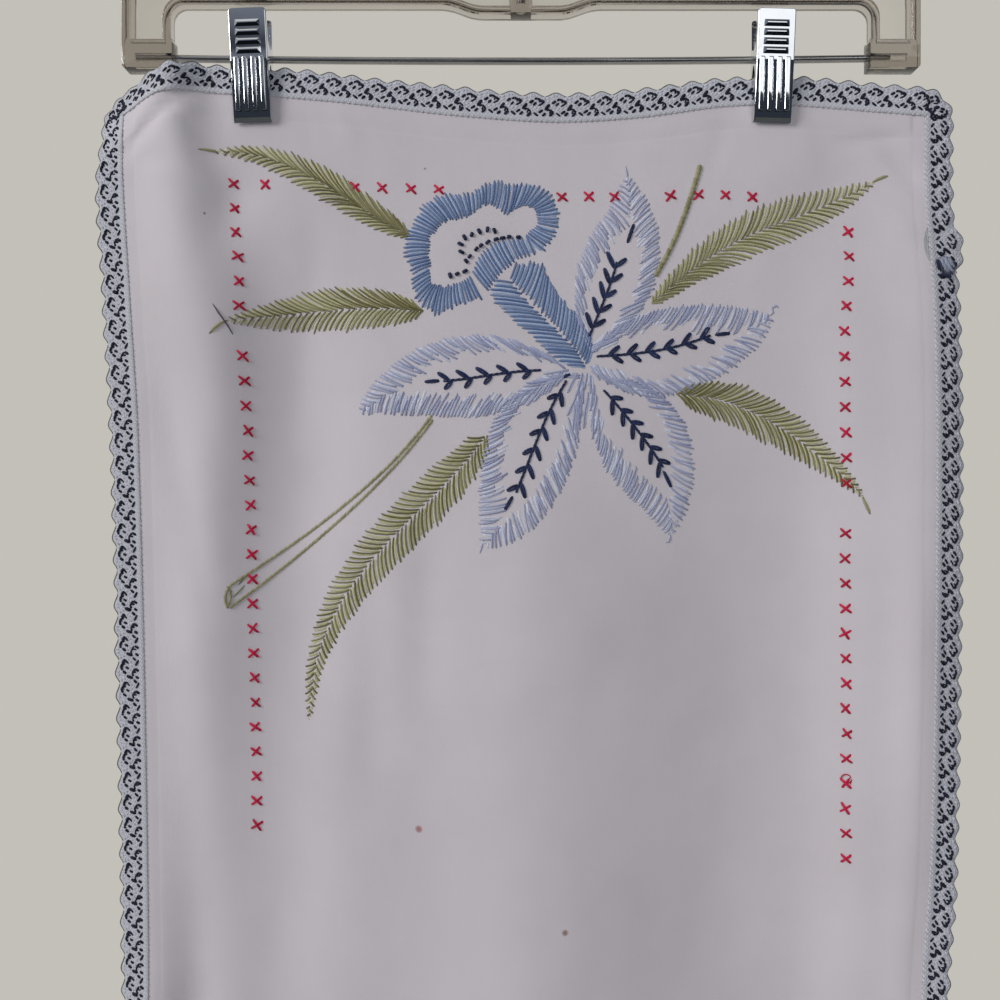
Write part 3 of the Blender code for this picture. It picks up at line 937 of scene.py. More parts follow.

# %% [markdown]
# ## The navy pattern
# The pattern is a small repeat, one to a scallop, charted as fifteen short bars: where each starts and ends,
# in millimetres out from the seam and in shares of a turn. Repeated round the band it makes the little
# slanting steps of dark blue. Each bar is a real thread lying proud of the knit.

# %% Navy bars
BAR_CHART = [  # out, along, to out, to along, width
    (8.2, 0.31, 9.7, 0.49, 1.05),
    (7.0, 0.47, 8.5, 0.62, 0.95),
    (9.7, 0.54, 10.5, 0.64, 0.95),
    (10.5, 0.63, 9.6, 0.82, 1.05),
    (9.7, 0.80, 8.5, 0.97, 1.25),
    (6.9, 0.70, 8.4, 0.95, 0.75),
    (8.3, 0.75, 9.6, 0.78, 0.65),
    (3.9, 0.48, 2.4, 0.68, 0.90),
    (3.7, 0.70, 5.1, 0.90, 0.95),
    (2.5, 0.86, 4.0, 1.02, 1.05),
    (5.1, 0.99, 7.8, 1.20, 1.35),
    (2.3, 1.18, 4.2, 1.37, 1.15),
    (4.2, 1.37, 5.7, 1.20, 0.90),
    (5.7, 1.22, 5.2, 1.06, 0.80),
    (3.6, 1.19, 5.0, 1.24, 0.70),
]
MM = 0.001


def work_chart(chart, shares, proud, slip=None, thicker=None):
    """Lays every bar of a chart in each turn of the band; slip and thicker are ranges that vary the bars."""
    skein = new_skein()
    for turn in range(TURNS):
        stretch = reach(turn + 0.5) / (BAND_PEAK + BAND_OVERLAP)
        for out, step, to_out, to_step, width in chart:
            aside = random.uniform(*slip) if slip else 0.0
            start = on_band(turn + step, (out + aside) * stretch * MM)
            end = on_band(turn + to_step, (to_out + aside) * stretch * MM)
            yarn = width * MM * (random.uniform(*thicker) if thicker else 1.0)
            ground = band_rise((out + to_out) / 2 * stretch * MM) + proud
            lay(skein, bowed(start, end, 0.0, shares), yarn, random.random(), 0.0001, 0.6, False, ground)
    return skein


random.seed(4)
bars = work_chart(BAR_CHART, (0.0, 0.25, 0.75, 1.0), 0.00052, (-0.25, 0.25), (0.98, 1.22))
NAVY_DARK = (0.003, 0.004, 0.012)
NAVY_LIGHT = (0.014, 0.018, 0.050)
navy_yarn = thread_finish("navy yarn", NAVY_DARK, NAVY_LIGHT, NAVY_DARK, 0.8, 2.0, 0.04)
navy_bars = make_threads("edging_pattern", bars, navy_yarn)

# %% [markdown]
# ## Pale yarns between the bars
# What lies between the bars is not flat either. Pale threads fill the gaps in the same slant, a fine dark
# cord runs along the scalloped edge, its grey partly its own and partly painted shade at the edge, and a row
# of sewing stitches holds the band to the hem. Where the band's two ends meet, near the top right corner, the
# yarn ends are wrapped round it in a dark lump, and a pale loop of yarn hangs on.

# %% Pale yarns
PALE_CHART = [  # out, along, to out, to along, width
    (9.9, 0.04, 10.9, 0.24, 0.9),
    (8.6, 0.06, 9.7, 0.24, 0.9),
    (8.4, 0.21, 9.3, 0.35, 0.8),
    (5.6, 0.32, 7.1, 0.50, 0.9),
    (6.6, 0.26, 8.0, 0.42, 0.9),
    (5.0, 0.48, 6.6, 0.66, 0.9),
    (5.4, 0.68, 6.8, 0.84, 0.9),
    (6.4, 0.82, 7.8, 1.00, 0.9),
    (9.4, 0.88, 10.4, 1.04, 0.9),
    (4.3, 0.52, 5.2, 0.70, 0.8),
    (4.6, 0.36, 5.4, 0.46, 0.8),
    (11.0, 0.34, 11.8, 0.46, 0.8),
    (11.2, 0.56, 11.9, 0.50, 0.8),
]
pale = work_chart(PALE_CHART, (0.0, 0.3, 0.7, 1.0), 0.00038)
pale_yarn = thread_finish("pale yarn", (0.56, 0.57, 0.65), (0.72, 0.73, 0.81), (0.44, 0.45, 0.53), 0.8, 2.0)
pale_bars = make_threads("edging_ground_yarns", pale, pale_yarn)

# %% Edge cord, seam and join
CORD_STEPS = 12
CORD_WIDTH = 0.6
SEAM_STITCHES = 4
SEAM_WIDTH = 0.45
edge = new_skein()
for turn in range(TURNS):
    places = [turn + step / CORD_STEPS for step in range(CORD_STEPS + 1)]
    line = [on_band(place, reach(place) - 0.0003) for place in places]
    lay(edge, line, CORD_WIDTH * MM, random.uniform(0.0, 0.25), 0.0, 0.9, False)
    for stitch in range(SEAM_STITCHES):
        place = turn + stitch / SEAM_STITCHES
        line = bowed(on_band(place, -0.0003), on_band(place + 0.15, 0.0009))
        shade = random.uniform(0.70, 1.0)
        lay(edge, line, SEAM_WIDTH * MM, shade, 0.0002, 0.7, False, band_rise(0.0) + 0.0001)
JOIN_LUMP = [  # across, down, to across, to down, width, shade
    (183.6, 66.4, 184.2, 71.0, 1.5, 0.0),
    (184.4, 66.0, 186.0, 72.4, 1.4, 0.1),
    (192.0, 66.2, 191.0, 70.6, 1.5, 0.0),
    (191.2, 66.8, 188.8, 73.0, 1.5, 0.05),
    (184.8, 72.6, 189.8, 73.4, 1.5, 0.0),
    (186.0, 72.0, 191.0, 71.6, 1.3, 0.15),
    (184.6, 65.4, 188.6, 71.6, 2.0, 0.85),
    (186.6, 64.8, 190.4, 71.4, 2.0, 1.0),
    (188.8, 64.8, 191.8, 69.6, 1.8, 0.8),
    (184.2, 69.6, 190.8, 65.4, 1.3, 0.9),
    (185.4, 71.4, 192.0, 66.8, 1.3, 0.6),
    (184.0, 67.4, 188.4, 64.6, 1.2, 0.7),
    (187.6, 72.0, 192.2, 69.0, 1.2, 0.75),
]
JOIN_LOOP = [(182.2, 50.6), (179.6, 54.5), (178.6, 58.5), (178.8, 62.5), (180.2, 66.5), (183.0, 69.0)]
LUMP_GROUND = 0.0013


def flat_line(line):
    """Millimetres on the flat cloth, in metres."""
    return [(across * MM, down * MM) for across, down in line]


lump = new_skein()
for across, down, to_across, to_down, width, shade in JOIN_LUMP:
    wrap = bowed(*flat_line([(across, down), (to_across, to_down)]), 0.4 * MM)
    lay(lump, wrap, width * MM, shade, 0.0004, 0.6, False, LUMP_GROUND)
for aside in (0.0, 0.7, 1.5):
    line = flat_line([(across + aside, down) for across, down in JOIN_LOOP])
    lay(edge, line, 0.8 * MM, 0.82, 0.0, 0.6, False, 0.0004)
JOINED = ((0.012, 0.018, 0.060), (0.42, 0.46, 0.58), (0.03, 0.04, 0.09))
join_lump = make_threads("edging_join", lump, thread_finish("joined yarn", *JOINED, 0.8, 2.0))
# the dark tone, used for the cord, is partly the cord's own grey and partly painted shade along the band's
# outer edge; the pale tone is for the seam stitches and the loop
edge_yarn = thread_finish("edge cord", (0.13, 0.135, 0.12), (0.64, 0.63, 0.66), (0.12, 0.12, 0.12), 0.8, 2.0)
edge_cord = make_threads("edging_cord_and_seam", edge, edge_yarn)

# %% [markdown]
# ## Embroidery: a border of crosses
# The border is cross stitch: two short threads crossing at right angles, the second over the first. By hand
# no two crosses are quite alike, so each is a little turned and stretched. Where a leaf covers the border
# there is none. From here on the drawing is kept in millimetres on the flat cloth, which is how it would be
# marked out.

# %% Border crosses
CROSS_SIZE = 6.2


def cross(skein, across, down):
    tilt = random.uniform(-0.16, 0.16)
    for leg in (0, 1):
        angle = tilt + random.uniform(-0.10, 0.10) + math.radians(45 if leg else -45)
        arm = CROSS_SIZE / 2 * random.uniform(0.98, 1.16)
        step = (arm * math.cos(angle), arm * math.sin(angle) * 0.95)
        ends = flat_line([moved((across, down), (step, -1)), moved((across, down), (step, 1))])
        line = bowed(*ends, random.uniform(-0.15, 0.15) * MM)
        lay(skein, line, random.uniform(0.98, 1.18) * MM, random.random(), 0.00042 * leg)


TOP_ROW = [
    (-117.6, 41.6), (-76.7, 39.2), (-64.4, 38.2), (-51.2, 37.0), (-38.6, 35.9),
    (17.3, 35.5), (29.5, 35.6), (41.0, 36.4), (66.3, 38.6), (78.8, 40.0), (91.0, 41.6), (103.2, 43.0),
    (145.9, 56.8),
]
LEFT_ROWS = 27
LEFT_PITCH = 11.09
LEFT_SKIPPED = (6,)
RIGHT_ROWS = 26
RIGHT_PITCH = 11.33
RIGHT_SKIPPED = (0, 11)
random.seed(11)
crosses = new_skein()
for index in range(LEFT_ROWS):
    if index not in LEFT_SKIPPED:
        cross(crosses, -131.9 + 0.04 * index + random.uniform(-0.3, 0.3), 42.0 + LEFT_PITCH * index)
for index in range(RIGHT_ROWS):
    lean = 5.6 * (1 - smoothstep(0, 5, index))
    if index not in RIGHT_SKIPPED:
        across = 140.2 + 0.15 * index + lean + random.uniform(-0.4, 0.4)
        cross(crosses, across, 56.6 + RIGHT_PITCH * index)
for across, down in TOP_ROW:
    cross(crosses, across, down)
CRIMSON = ((0.46, 0.003, 0.036), (0.76, 0.008, 0.080), (0.34, 0.004, 0.03))
crimson = thread_finish("crimson cotton", *CRIMSON, sheen=0.04)
print(LEFT_ROWS + RIGHT_ROWS + len(TOP_ROW) - len(LEFT_SKIPPED + RIGHT_SKIPPED), "crosses")

# %% [markdown]
# ## Embroidery: leaves
# A leaf is worked in herringbone: slanting stitches from a middle line to the edge, left and right in turn.
# So it can be described by few numbers: where it starts and ends, how its middle line sways, how wide each
# side is and where it is fullest, how many stitches a side has and how they slant. The stitches are olive,
# light and dark by turns.

# %% Curves of the drawing
def steered(base, tip, near, far):
    """Four points that steer a smooth line from base to tip; near and far push it sideways."""
    run, _, aside = course(base, tip)
    return base, moved(base, (run, 1 / 3), (aside, near)), moved(base, (run, 2 / 3), (aside, far)), tip


def at(steer, share):
    """The point, the heading and the side direction at a share of a steered line."""
    rest = 1 - share
    weights = (rest**3, 3 * rest**2 * share, 3 * rest * share**2, share**3)
    slopes = (-(rest**2), rest**2 - 2 * rest * share, 2 * rest * share - share**2, share**2)
    point = moved((0, 0), *zip(steer, weights))
    run = moved((0, 0), *zip(steer, slopes))
    length = math.hypot(*run) or 1.0
    heading = (run[0] / length, run[1] / length)
    return point, heading, (-heading[1], heading[0])


def fullness(share, fullest, blunt):
    """0 at both ends and 1 where the leaf or petal is fullest."""
    share = min(1.0, max(0.0, share))
    return math.sin(math.pi * share ** (math.log(0.5) / math.log(fullest))) ** blunt


PROUD = ((0.0, 0.30), (0.9, 1.1), (0.00020,))  # shade, width, and how the stitch lies
LOW = ((0.75, 1.0), (1.25, 1.45), (0.0, 0.40, True, 0.00012))


def fill_stitch(skein, start, end, bow, width, proud, tone=0.5):
    """One stitch of a filled shape: a proud one is dark and full length, the others pale, low and short."""
    shades, widths, lies = PROUD if proud else LOW
    if not proud:
        run, length, _ = course(start, end)
        trim = min(0.3, 1.0 / length)
        start, end = moved(start, (run, trim)), moved(end, (run, -trim))
    shade = random.uniform(*shades) + tone - 0.5
    line = flat_line(bowed(start, end, bow, (0.0, 0.10, 0.35, 0.65, 0.90, 1.0)))
    lay(skein, line, width * random.uniform(*widths) * MM, min(1, max(0, shade)), *lies)


def patchy(place, pitch, level):
    """A slow change of tone over the drawing, from dyeing."""
    return noise.noise(Vector((place[0] * pitch, place[1] * pitch, level)))


LEAF_STITCH = 0.74
LEAF_BOW = 0.07
LEAF_PATCH = 0.22


def leaf(skein, base, tip, near, far, fullest, sides, stitches, tone):
    """Herringbone on both sides of a steered line. Sides holds (half width, slant) to the right and left."""
    steer = steered(base, tip, near, far)
    length = math.dist(base, tip)
    for side, (half_width, slant) in zip((1, -1), sides):
        for index in range(2 * stitches):
            share = 0.05 + 0.95 * (index + 0.5 + 0.5 * side) / (2 * stitches)
            wide = half_width * fullness(share, fullest, 0.80) + 0.9
            back = wide / math.tan(math.radians(slant)) / length
            start, _, aside = at(steer, max(0.0, share - back) + random.uniform(-0.004, 0.004))
            start = [start[axis] - aside[axis] * side * random.uniform(-0.1, 0.5) for axis in (0, 1)]
            end, _, aside = at(steer, share)
            end = moved(end, (aside, side * wide * random.uniform(0.92, 1.10)))
            bow = -side * LEAF_BOW * math.dist(start, end)
            dyed = tone + LEAF_PATCH * patchy(end, 0.09, 1.0)
            fill_stitch(skein, start, end, bow, LEAF_STITCH, index % 2 == 0, dyed)


# %% The five leaves
LEAVES = [  # base, tip, sway near and far, fullest, (half width, slant) on each side, stitches, tone
    ((-52.0, 58.5), (-139.0, 28.5), 0.5, 15.5, 0.42, ((7.0, 22), (7.0, 30)), 30, 0.52),
    ((-48.5, 91.5), (-137.5, 104.5), 4.0, 1.5, 0.42, ((9.4, 30), (9.4, 46)), 33, 0.50),
    ((52.5, 88.0), (158.5, 33.5), -10.0, 4.5, 0.52, ((9.2, 33), (9.8, 42)), 40, 0.62),
    ((-20.8, 142.5), (-106.0, 281.5), 2.0, 33.0, 0.36, ((9.8, 46), (9.2, 44)), 56, 0.46),
    ((64.5, 127.0), (149.5, 175.5), -10.5, -8.5, 0.40, ((9.4, 36), (9.4, 42)), 36, 0.50),
]
random.seed(5)
leaves = new_skein()
for row in LEAVES:
    leaf(leaves, *row)
LEAF_TAILS = [
    [(-137.5, 29.5), (-139.5, 28.2), (-143.0, 28.0), (-147.0, 28.2)],
    [(-136.0, 104.0), (-140.0, 106.0), (-143.0, 108.5), (-145.5, 111.5)],
    [(157.0, 34.5), (160.0, 32.2), (163.0, 30.8), (165.2, 30.2)],
    [(148.5, 174.0), (150.0, 178.0), (151.5, 181.0), (152.6, 183.5)],
]
for line in LEAF_TAILS:
    lay(leaves, flat_line(line), 1.2 * MM, 0.45, 0.0002)

# %% [markdown]
# ## Embroidery: petals
# A petal has the same kind of outline, but only its rim is worked: slanting straight stitches run from the
# outline part of the way in, and leave the middle bare for the vein. The yarn is a pale lavender blue,
# lighter and darker by turns. The stitches are laid close, so that their soft ridges catch the light.

# %% Petals
STITCHES_PER_MM = 1.10 / 1.04
STITCH_DEPTH = 11.6
STITCH_SLANT = 44
PETAL_STITCH = 0.80
PETAL_BOW = 0.04
PETAL_TONE = 0.58
PETAL_PATCH = 0.35


def petal(skein, base, tip, near, far, fullest, blunt, sides):
    """Slanting rim stitches on both sides of a steered line. Sides holds the two half widths."""
    steer = steered(base, tip, near, far)
    length = math.dist(base, tip)
    stitches = round(length * STITCHES_PER_MM)
    for side, half_width in zip((1, -1), sides):
        for index in range(stitches):
            share = 0.04 + 0.955 * (index + random.uniform(0.30, 0.70)) / stitches
            wide = half_width * fullness(share, fullest, blunt) + 1.0
            end, heading, aside = at(steer, share)
            end = [end[axis] + aside[axis] * side * (wide + random.uniform(-0.7, 0.9)) for axis in (0, 1)]
            angle = math.radians(STITCH_SLANT + random.uniform(-7, 7))
            back, in_from_rim = math.cos(angle), math.sin(angle)
            run = STITCH_DEPTH * random.uniform(0.70, 1.25)
            run = min(run, share * length / back + 3.0, wide / in_from_rim + 1.2)
            start = moved(end, (heading, -run * back), (aside, -run * side * in_from_rim))
            bow = -side * PETAL_BOW * run + random.uniform(-0.3, 0.3)
            dyed = PETAL_TONE + PETAL_PATCH * patchy(end, 0.11, 4.0)
            fill_stitch(skein, start, end, bow, PETAL_STITCH, index % 2 == 0, dyed)


PETALS = [  # base, tip, sway near and far, fullest, blunt, half widths
    ((27.0, 104.0), (47.0, 27.0), 1.1, 12.5, 0.46, 0.90, (16.8, 17.4)),
    ((28.0, 109.0), (109.5, 96.5), 2.0, 9.5, 0.42, 0.68, (19.5, 18.6)),
    ((30.0, 120.0), (61.5, 191.0), -6.0, -11.0, 0.42, 0.80, (19.4, 20.0)),
    ((21.0, 118.0), (-25.0, 194.5), 16.0, -7.0, 0.46, 0.68, (18.6, 19.4)),
    ((13.0, 113.5), (-80.5, 140.5), 5.5, 12.0, 0.42, 0.82, (17.6, 17.0)),
]
random.seed(8)
petals = new_skein()
for row in PETALS:
    petal(petals, *row)
THROAT = [  # start, end: where the petals meet, stitches run out from the middle
    ((24.4, 114.2), (22.6, 122.0)),
    ((22.2, 114.6), (18.4, 126.0)),
    ((20.0, 114.0), (14.8, 123.6)),
    ((25.8, 115.2), (25.6, 124.6)),
    ((22.0, 121.6), (17.6, 132.4)),
    ((24.4, 123.0), (21.6, 134.0)),
    ((19.0, 124.6), (14.2, 134.0)),
    ((26.4, 121.2), (25.0, 131.0)),
    ((27.6, 125.8), (25.4, 137.2)),
    ((23.0, 129.0), (21.8, 139.6)),
    ((18.0, 130.0), (16.6, 141.6)),
    ((25.6, 111.6), (30.2, 118.6)),
    ((28.2, 111.0), (33.8, 121.0)),
    ((31.0, 111.6), (38.4, 122.6)),
    ((34.2, 113.2), (42.6, 124.8)),
    ((37.4, 113.0), (45.4, 123.6)),
    ((16.4, 113.4), (4.0, 115.6)),
    ((14.6, 115.6), (3.2, 118.0)),
    ((12.4, 117.8), (1.4, 120.6)),
    ((28.6, 104.6), (39.6, 100.6)),
    ((29.4, 102.4), (41.6, 98.2)),
    ((31.0, 99.8), (43.2, 95.4)),
]
for start, end in THROAT:
    for proud in (True, False):
        slide_down = random.uniform(-0.4, 0.4)
        slide = (random.uniform(0.5, 1.1) * (0 if proud else 1), slide_down)
        ends = [moved(place, (slide, 1)) for place in (start, end)]
        fill_stitch(petals, *ends, random.uniform(-0.5, 0.5), 0.86, proud, 0.6)
PETAL_TAILS = [
    [(47.5, 30.0), (46.9, 27.0), (46.4, 24.5), (46.6, 22.5)],
    [(108.0, 97.0), (109.8, 94.8), (109.4, 92.6), (111.4, 91.6), (113.4, 93.2)],
    [(61.5, 189.0), (61.0, 191.5), (60.0, 193.0), (58.6, 193.4)],
    [(-24.0, 191.0), (-25.5, 195.0), (-26.4, 199.0)],
]
for line in PETAL_TAILS:
    lay(petals, flat_line(line), 0.9 * MM, 0.45, 0.0001)

# %% [markdown]
# ## Embroidery: the trumpet
# The flower's trumpet is a frilled ring round a bare opening, on a tube worked in herringbone. Each piece of
# it is a band between two lines: a table gives a few pairs of points, on the outer line and on the inner one,
# and straight stitches are laid from line to line between them, their ends a little uneven as hand stitches
# are.

# %% Bands between two lines
def between(rows, share):
    """A row part of the way along a table, on a smooth curve through its rows, by length."""
    travelled = [0.0]
    for before, after in zip(rows, rows[1:]):
        step = 0.7 * math.dist(before[:2], after[:2]) + 0.3 * math.dist(before[2:], after[2:])
        travelled.append(travelled[-1] + step)
    numbered = [(place / travelled[-1], *row) for place, row in zip(travelled, rows)]
    return [along(numbered, share, column) for column in range(1, 5)]


def band_of_stitches(skein, rows, stitches, width, ragged, bow):
    for index in range(2 * stitches):
        row = between(rows, (index + random.uniform(0.25, 0.75)) / (2 * stitches))
        outer, inner = row[:2], row[2:]
        run, length, _ = course(inner, outer)
        end = moved(inner, (run, 1 + random.uniform(-ragged, ragged) / length))
        start = moved(inner, (run, random.uniform(-ragged, ragged) * 0.6 / length))
        sway = bow * length + random.uniform(-0.35, 0.35)
        fill_stitch(skein, start, end, sway, width, index % 2 == 0)


RING = [  # outer across, outer down, inner across, inner down
    (-21.5, 84.0, -27.0, 73.0),
    (-34.0, 89.0, -34.5, 77.5),
    (-44.5, 93.0, -40.5, 79.0),
    (-52.5, 86.0, -44.0, 77.5),
    (-53.5, 75.0, -44.0, 70.0),
    (-57.0, 65.0, -44.0, 63.0),
    (-53.5, 55.5, -42.5, 57.5),
    (-44.5, 41.5, -35.5, 50.5),
    (-35.0, 36.5, -29.0, 48.5),
    (-25.0, 36.0, -24.0, 46.0),
    (-18.5, 31.5, -18.5, 41.5),
    (-10.5, 28.0, -13.5, 42.0),
    (-6.5, 30.0, -9.5, 45.0),
    (1.0, 29.0, -5.0, 42.5),
    (8.5, 31.0, 0.5, 40.5),
    (16.0, 40.0, 5.0, 42.5),
    (14.5, 52.0, 4.0, 48.5),
    (7.5, 61.0, -1.0, 53.0),
]
LIP_FAN = [
    (-26.0, 71.0, -18.5, 80.0),
    (-23.0, 64.5, -15.5, 76.0),
    (-18.5, 59.5, -11.5, 71.5),
    (-13.0, 56.5, -7.5, 67.5),
    (-6.5, 54.5, -2.5, 64.0),
    (1.5, 53.0, 5.0, 62.0),
]
TUBE_LEFT = [
    (-16.0, 74.0, -8.0, 74.5),
    (-18.5, 82.0, -0.5, 83.0),
    (-11.0, 90.0, 7.0, 90.5),
    (-3.0, 97.0, 14.6, 98.0),
    (4.0, 103.5, 20.6, 104.6),
    (16.0, 112.0, 25.0, 112.8),
]
TUBE_RIGHT = [
    (-6.0, 66.0, -9.0, 73.5),
    (5.5, 64.5, -2.0, 81.5),
    (9.0, 71.5, 5.2, 88.5),
    (15.5, 82.0, 12.6, 96.5),
    (22.5, 90.5, 18.8, 103.8),
    (28.0, 102.0, 24.4, 112.4),
]
random.seed(21)
trumpet = new_skein()
band_of_stitches(trumpet, RING, 84, 0.90, 1.0, 0.03)
band_of_stitches(trumpet, LIP_FAN, 16, 0.90, 0.6, -0.03)
band_of_stitches(trumpet, TUBE_LEFT, 21, 0.95, 1.0, 0.03)
band_of_stitches(trumpet, TUBE_RIGHT, 26, 0.95, 1.0, 0.03)

# %% [markdown]
# ## Embroidery: veins, knots and stems
# Each petal has a navy vein in stem stitch, with pairs of chain-stitch leaflets and one longer stitch near
# the tip. Small navy knots line the trumpet's lip. The stems are olive stem stitch, one thick and short, one
# long and drawn as two lines that close in a small oval.

# %% Veins
STEM_OVERLAP = 0.18  # how far a stitch leans over the last, in its own widths
FIRST_PAIR = 0.10
PAIRS_OVER = 0.7998


def stem_stitch(skein, steer, width, shade, pitch=2.6):
    """Short stitches in a row, each lying a little over the one before."""
    places = [at(steer, step / 8)[0] for step in range(9)]
    length = sum(math.dist(before, after) for before, after in zip(places, places[1:]))
    count = max(1, round(length / pitch))
    for index in range(count):
        start, _, aside = at(steer, max(0.0, (index - 0.35) / count))
        end, _, _ = at(steer, min(1.0, (index + 1.25) / count))
        start = moved(start, (aside, STEM_OVERLAP * width))
        end = moved(end, (aside, -STEM_OVERLAP * width))
        tone = min(1.0, max(0.0, shade + random.uniform(-0.15, 0.15)))
        lay(skein, flat_line(bowed(start, end)), width * MM, tone, 0.00015)


def leaflet(skein, root, tip, plump=0.62):
    """A chain stitch: two bowed threads side by side."""
    for side in (-1, 1):
        line = bowed(root, tip, side * plump, (0.0, 0.15, 0.4, 0.65, 0.88, 1.0))
        lay(skein, flat_line(line), 1.04 * MM, random.uniform(0.2, 0.8), 0.0002)


def vein(skein, base, tip, near, far, pairs, left_length, right_length, dash):
    steer = steered(base, tip, near, far)
    stem_stitch(skein, steer, 1.05, 0.4)
    for index in range(pairs):
        share = FIRST_PAIR + PAIRS_OVER * index / (pairs - 1)
        for side, long, later in ((1, right_length, 0.03), (-1, left_length, 0.0)):
            root, heading, aside = at(steer, share + later)
            angle = math.radians(random.uniform(34, 42))
            far_out = long * random.uniform(0.92, 1.06)
            ahead, out = far_out * math.cos(angle), far_out * side * math.sin(angle)
            leaflet(skein, root, moved(root, (heading, ahead), (aside, out)))
    leaflet(skein, *dash, 0.35)


VEINS = [  # base, tip, sway near and far, pairs, leaflet lengths left and right, last stitch
    ((26.0, 98.5), (40.6, 65.5), 0.0, 1.0, 5, 8.6, 6.6, ((45.6, 58.0), (49.4, 49.0))),
    ((28.8, 107.4), (81.5, 103.2), 1.5, 2.5, 6, 7.0, 6.2, ((83.0, 103.2), (90.4, 103.2))),
    ((31.4, 122.5), (58.0, 159.4), -1.0, -1.5, 6, 6.6, 7.2, ((58.0, 160.6), (62.0, 169.2))),
    ((15.0, 118.0), (-9.6, 169.5), 3.5, 0.5, 6, 7.6, 6.4, ((-10.8, 170.8), (-14.8, 177.8))),
    ((3.6, 113.8), (-41.4, 122.2), 2.0, -0.5, 5, 6.0, 6.8, ((-42.6, 122.2), (-50.0, 123.6))),
]
KNOTS = [  # across, down, heading in degrees
    (-30.0, 59.6, 20), (-28.0, 56.4, 60), (-24.4, 54.8, -70), (-21.0, 53.0, 60), (-17.4, 51.8, -80),
    (-14.2, 52.2, 70), (-29.8, 63.0, 25), (-28.0, 67.0, 50), (-26.2, 64.6, -45), (-22.8, 61.2, -50),
    (-20.8, 59.2, -45), (-17.4, 57.6, -40), (-13.6, 55.8, -20), (-10.6, 55.0, -10), (-7.6, 54.4, -5),
    (-3.4, 54.2, -5), (-28.8, 71.6, -30), (-32.4, 73.2, -30), (-35.6, 74.2, 70),
]
random.seed(31)
navy = new_skein()
for row in VEINS:
    vein(navy, *row)
leaflet(navy, (13.0, 116.6), (17.0, 115.2), 0.3)
for across, down, heading in KNOTS:
    long = random.uniform(1.15, 1.55)
    way = (math.cos(math.radians(heading)), math.sin(math.radians(heading)))
    ends = [moved((across, down), (way, -long)), moved((across, down), (way, long))]
    line = flat_line(bowed(*ends, random.uniform(-0.2, 0.2), (0.0, 0.16, 0.38, 0.5, 0.62, 0.84, 1.0)))
    lay(navy, line, random.uniform(1.45, 1.70) * MM, random.uniform(0.0, 0.5), 0.0003, 0.8)

# %% Stems and stray threads
random.seed(17)
stems = new_skein()
STEMS = [  # base, tip, sway near and far, width, shade, pitch
    ((80.0, 26.7), (57.0, 73.5), -3.0, -3.5, 1.9, 0.35, 2.2),
    ((-47.0, 138.0), (-141.5, 223.0), -10.0, -5.5, 1.05, 0.45, 2.6),
    ((-46.6, 140.0), (-141.0, 232.5), -8.0, -5.0, 1.05, 0.45, 2.6),
    ((-141.0, 223.0), (-141.8, 232.8), 2.2, 2.2, 1.05, 0.35, 2.6),
    ((-141.8, 222.6), (-142.6, 232.6), -2.6, -2.6, 1.05, 0.35, 2.6),
]
for *steer, width, shade, pitch in STEMS:
    stem_stitch(stems, steered(*steer), width, shade, pitch)
OVAL_TAILS = [
    [(-130.2, 214.6), (-134.5, 219.0), (-138.4, 223.8)],
    [(-133.0, 221.0), (-137.0, 225.0), (-140.2, 228.8)],
]
for line in OVAL_TAILS:
    lay(stems, flat_line(line), 0.8 * MM, 0.3, 0.0001)
stray = new_skein()
STRAY = [(-143.2, 96.6), (-140.5, 101.5), (-137.0, 107.0), (-134.6, 111.6)]
lay(stray, flat_line(STRAY), 0.7 * MM, 0.2, 0.0006)
turned = [math.radians(30 * step) for step in range(12)]
loop = [(143.6 + 2.2 * math.cos(angle), 303.6 + 2.0 * math.sin(angle)) for angle in turned]
lay(crosses, flat_line([(145.2, 308.3), *loop, (142.0, 307.4)]), 0.55 * MM, 0.5, 0.0006)

# %% The embroidery as pieces
olive = thread_finish("olive cotton", (0.150, 0.135, 0.042), (0.700, 0.680, 0.410), (0.10, 0.09, 0.045))
lavender = thread_finish("pale blue cotton", (0.340, 0.370, 0.575), (0.740, 0.770, 0.900), (0.20, 0.20, 0.36))
blue = thread_finish("mid blue cotton", (0.090, 0.155, 0.345), (0.500, 0.610, 0.820), (0.035, 0.055, 0.14))
NAVY = ((0.004, 0.009, 0.045), (0.016, 0.036, 0.135), (0.003, 0.006, 0.03))
dark_blue = thread_finish("navy cotton", *NAVY, 0.6, sheen=0.06)
brown = thread_finish("stray thread", (0.10, 0.07, 0.09), (0.20, 0.16, 0.18), (0.10, 0.07, 0.09))
stitched = [
    make_threads(name, skein, finish)
    for name, skein, finish in (
        ("border_crosses", crosses, crimson),
        ("stitched_stems", stems, olive),
        ("stitched_leaves", leaves, olive),
        ("stitched_petals", petals, lavender),
        ("stitched_trumpet", trumpet, blue),
        ("stitched_veins", navy, dark_blue),
        ("stray_thread", stray, brown),
    )
]

# %% [markdown]
# ## The clear hanger
# The hanger is one moulding of clear plastic: a beam with a dip in the middle for the hook, and a leg at each
# end that carries the rod. It starts as a block of the beam's size. Planes slice it where its form changes,
# the legs are extruded down, the middle is pulled down, and single edges are bevelled round. Then both faces
# are inset and pushed in, which leaves flanges round a thin web, as real mouldings have to save plastic.

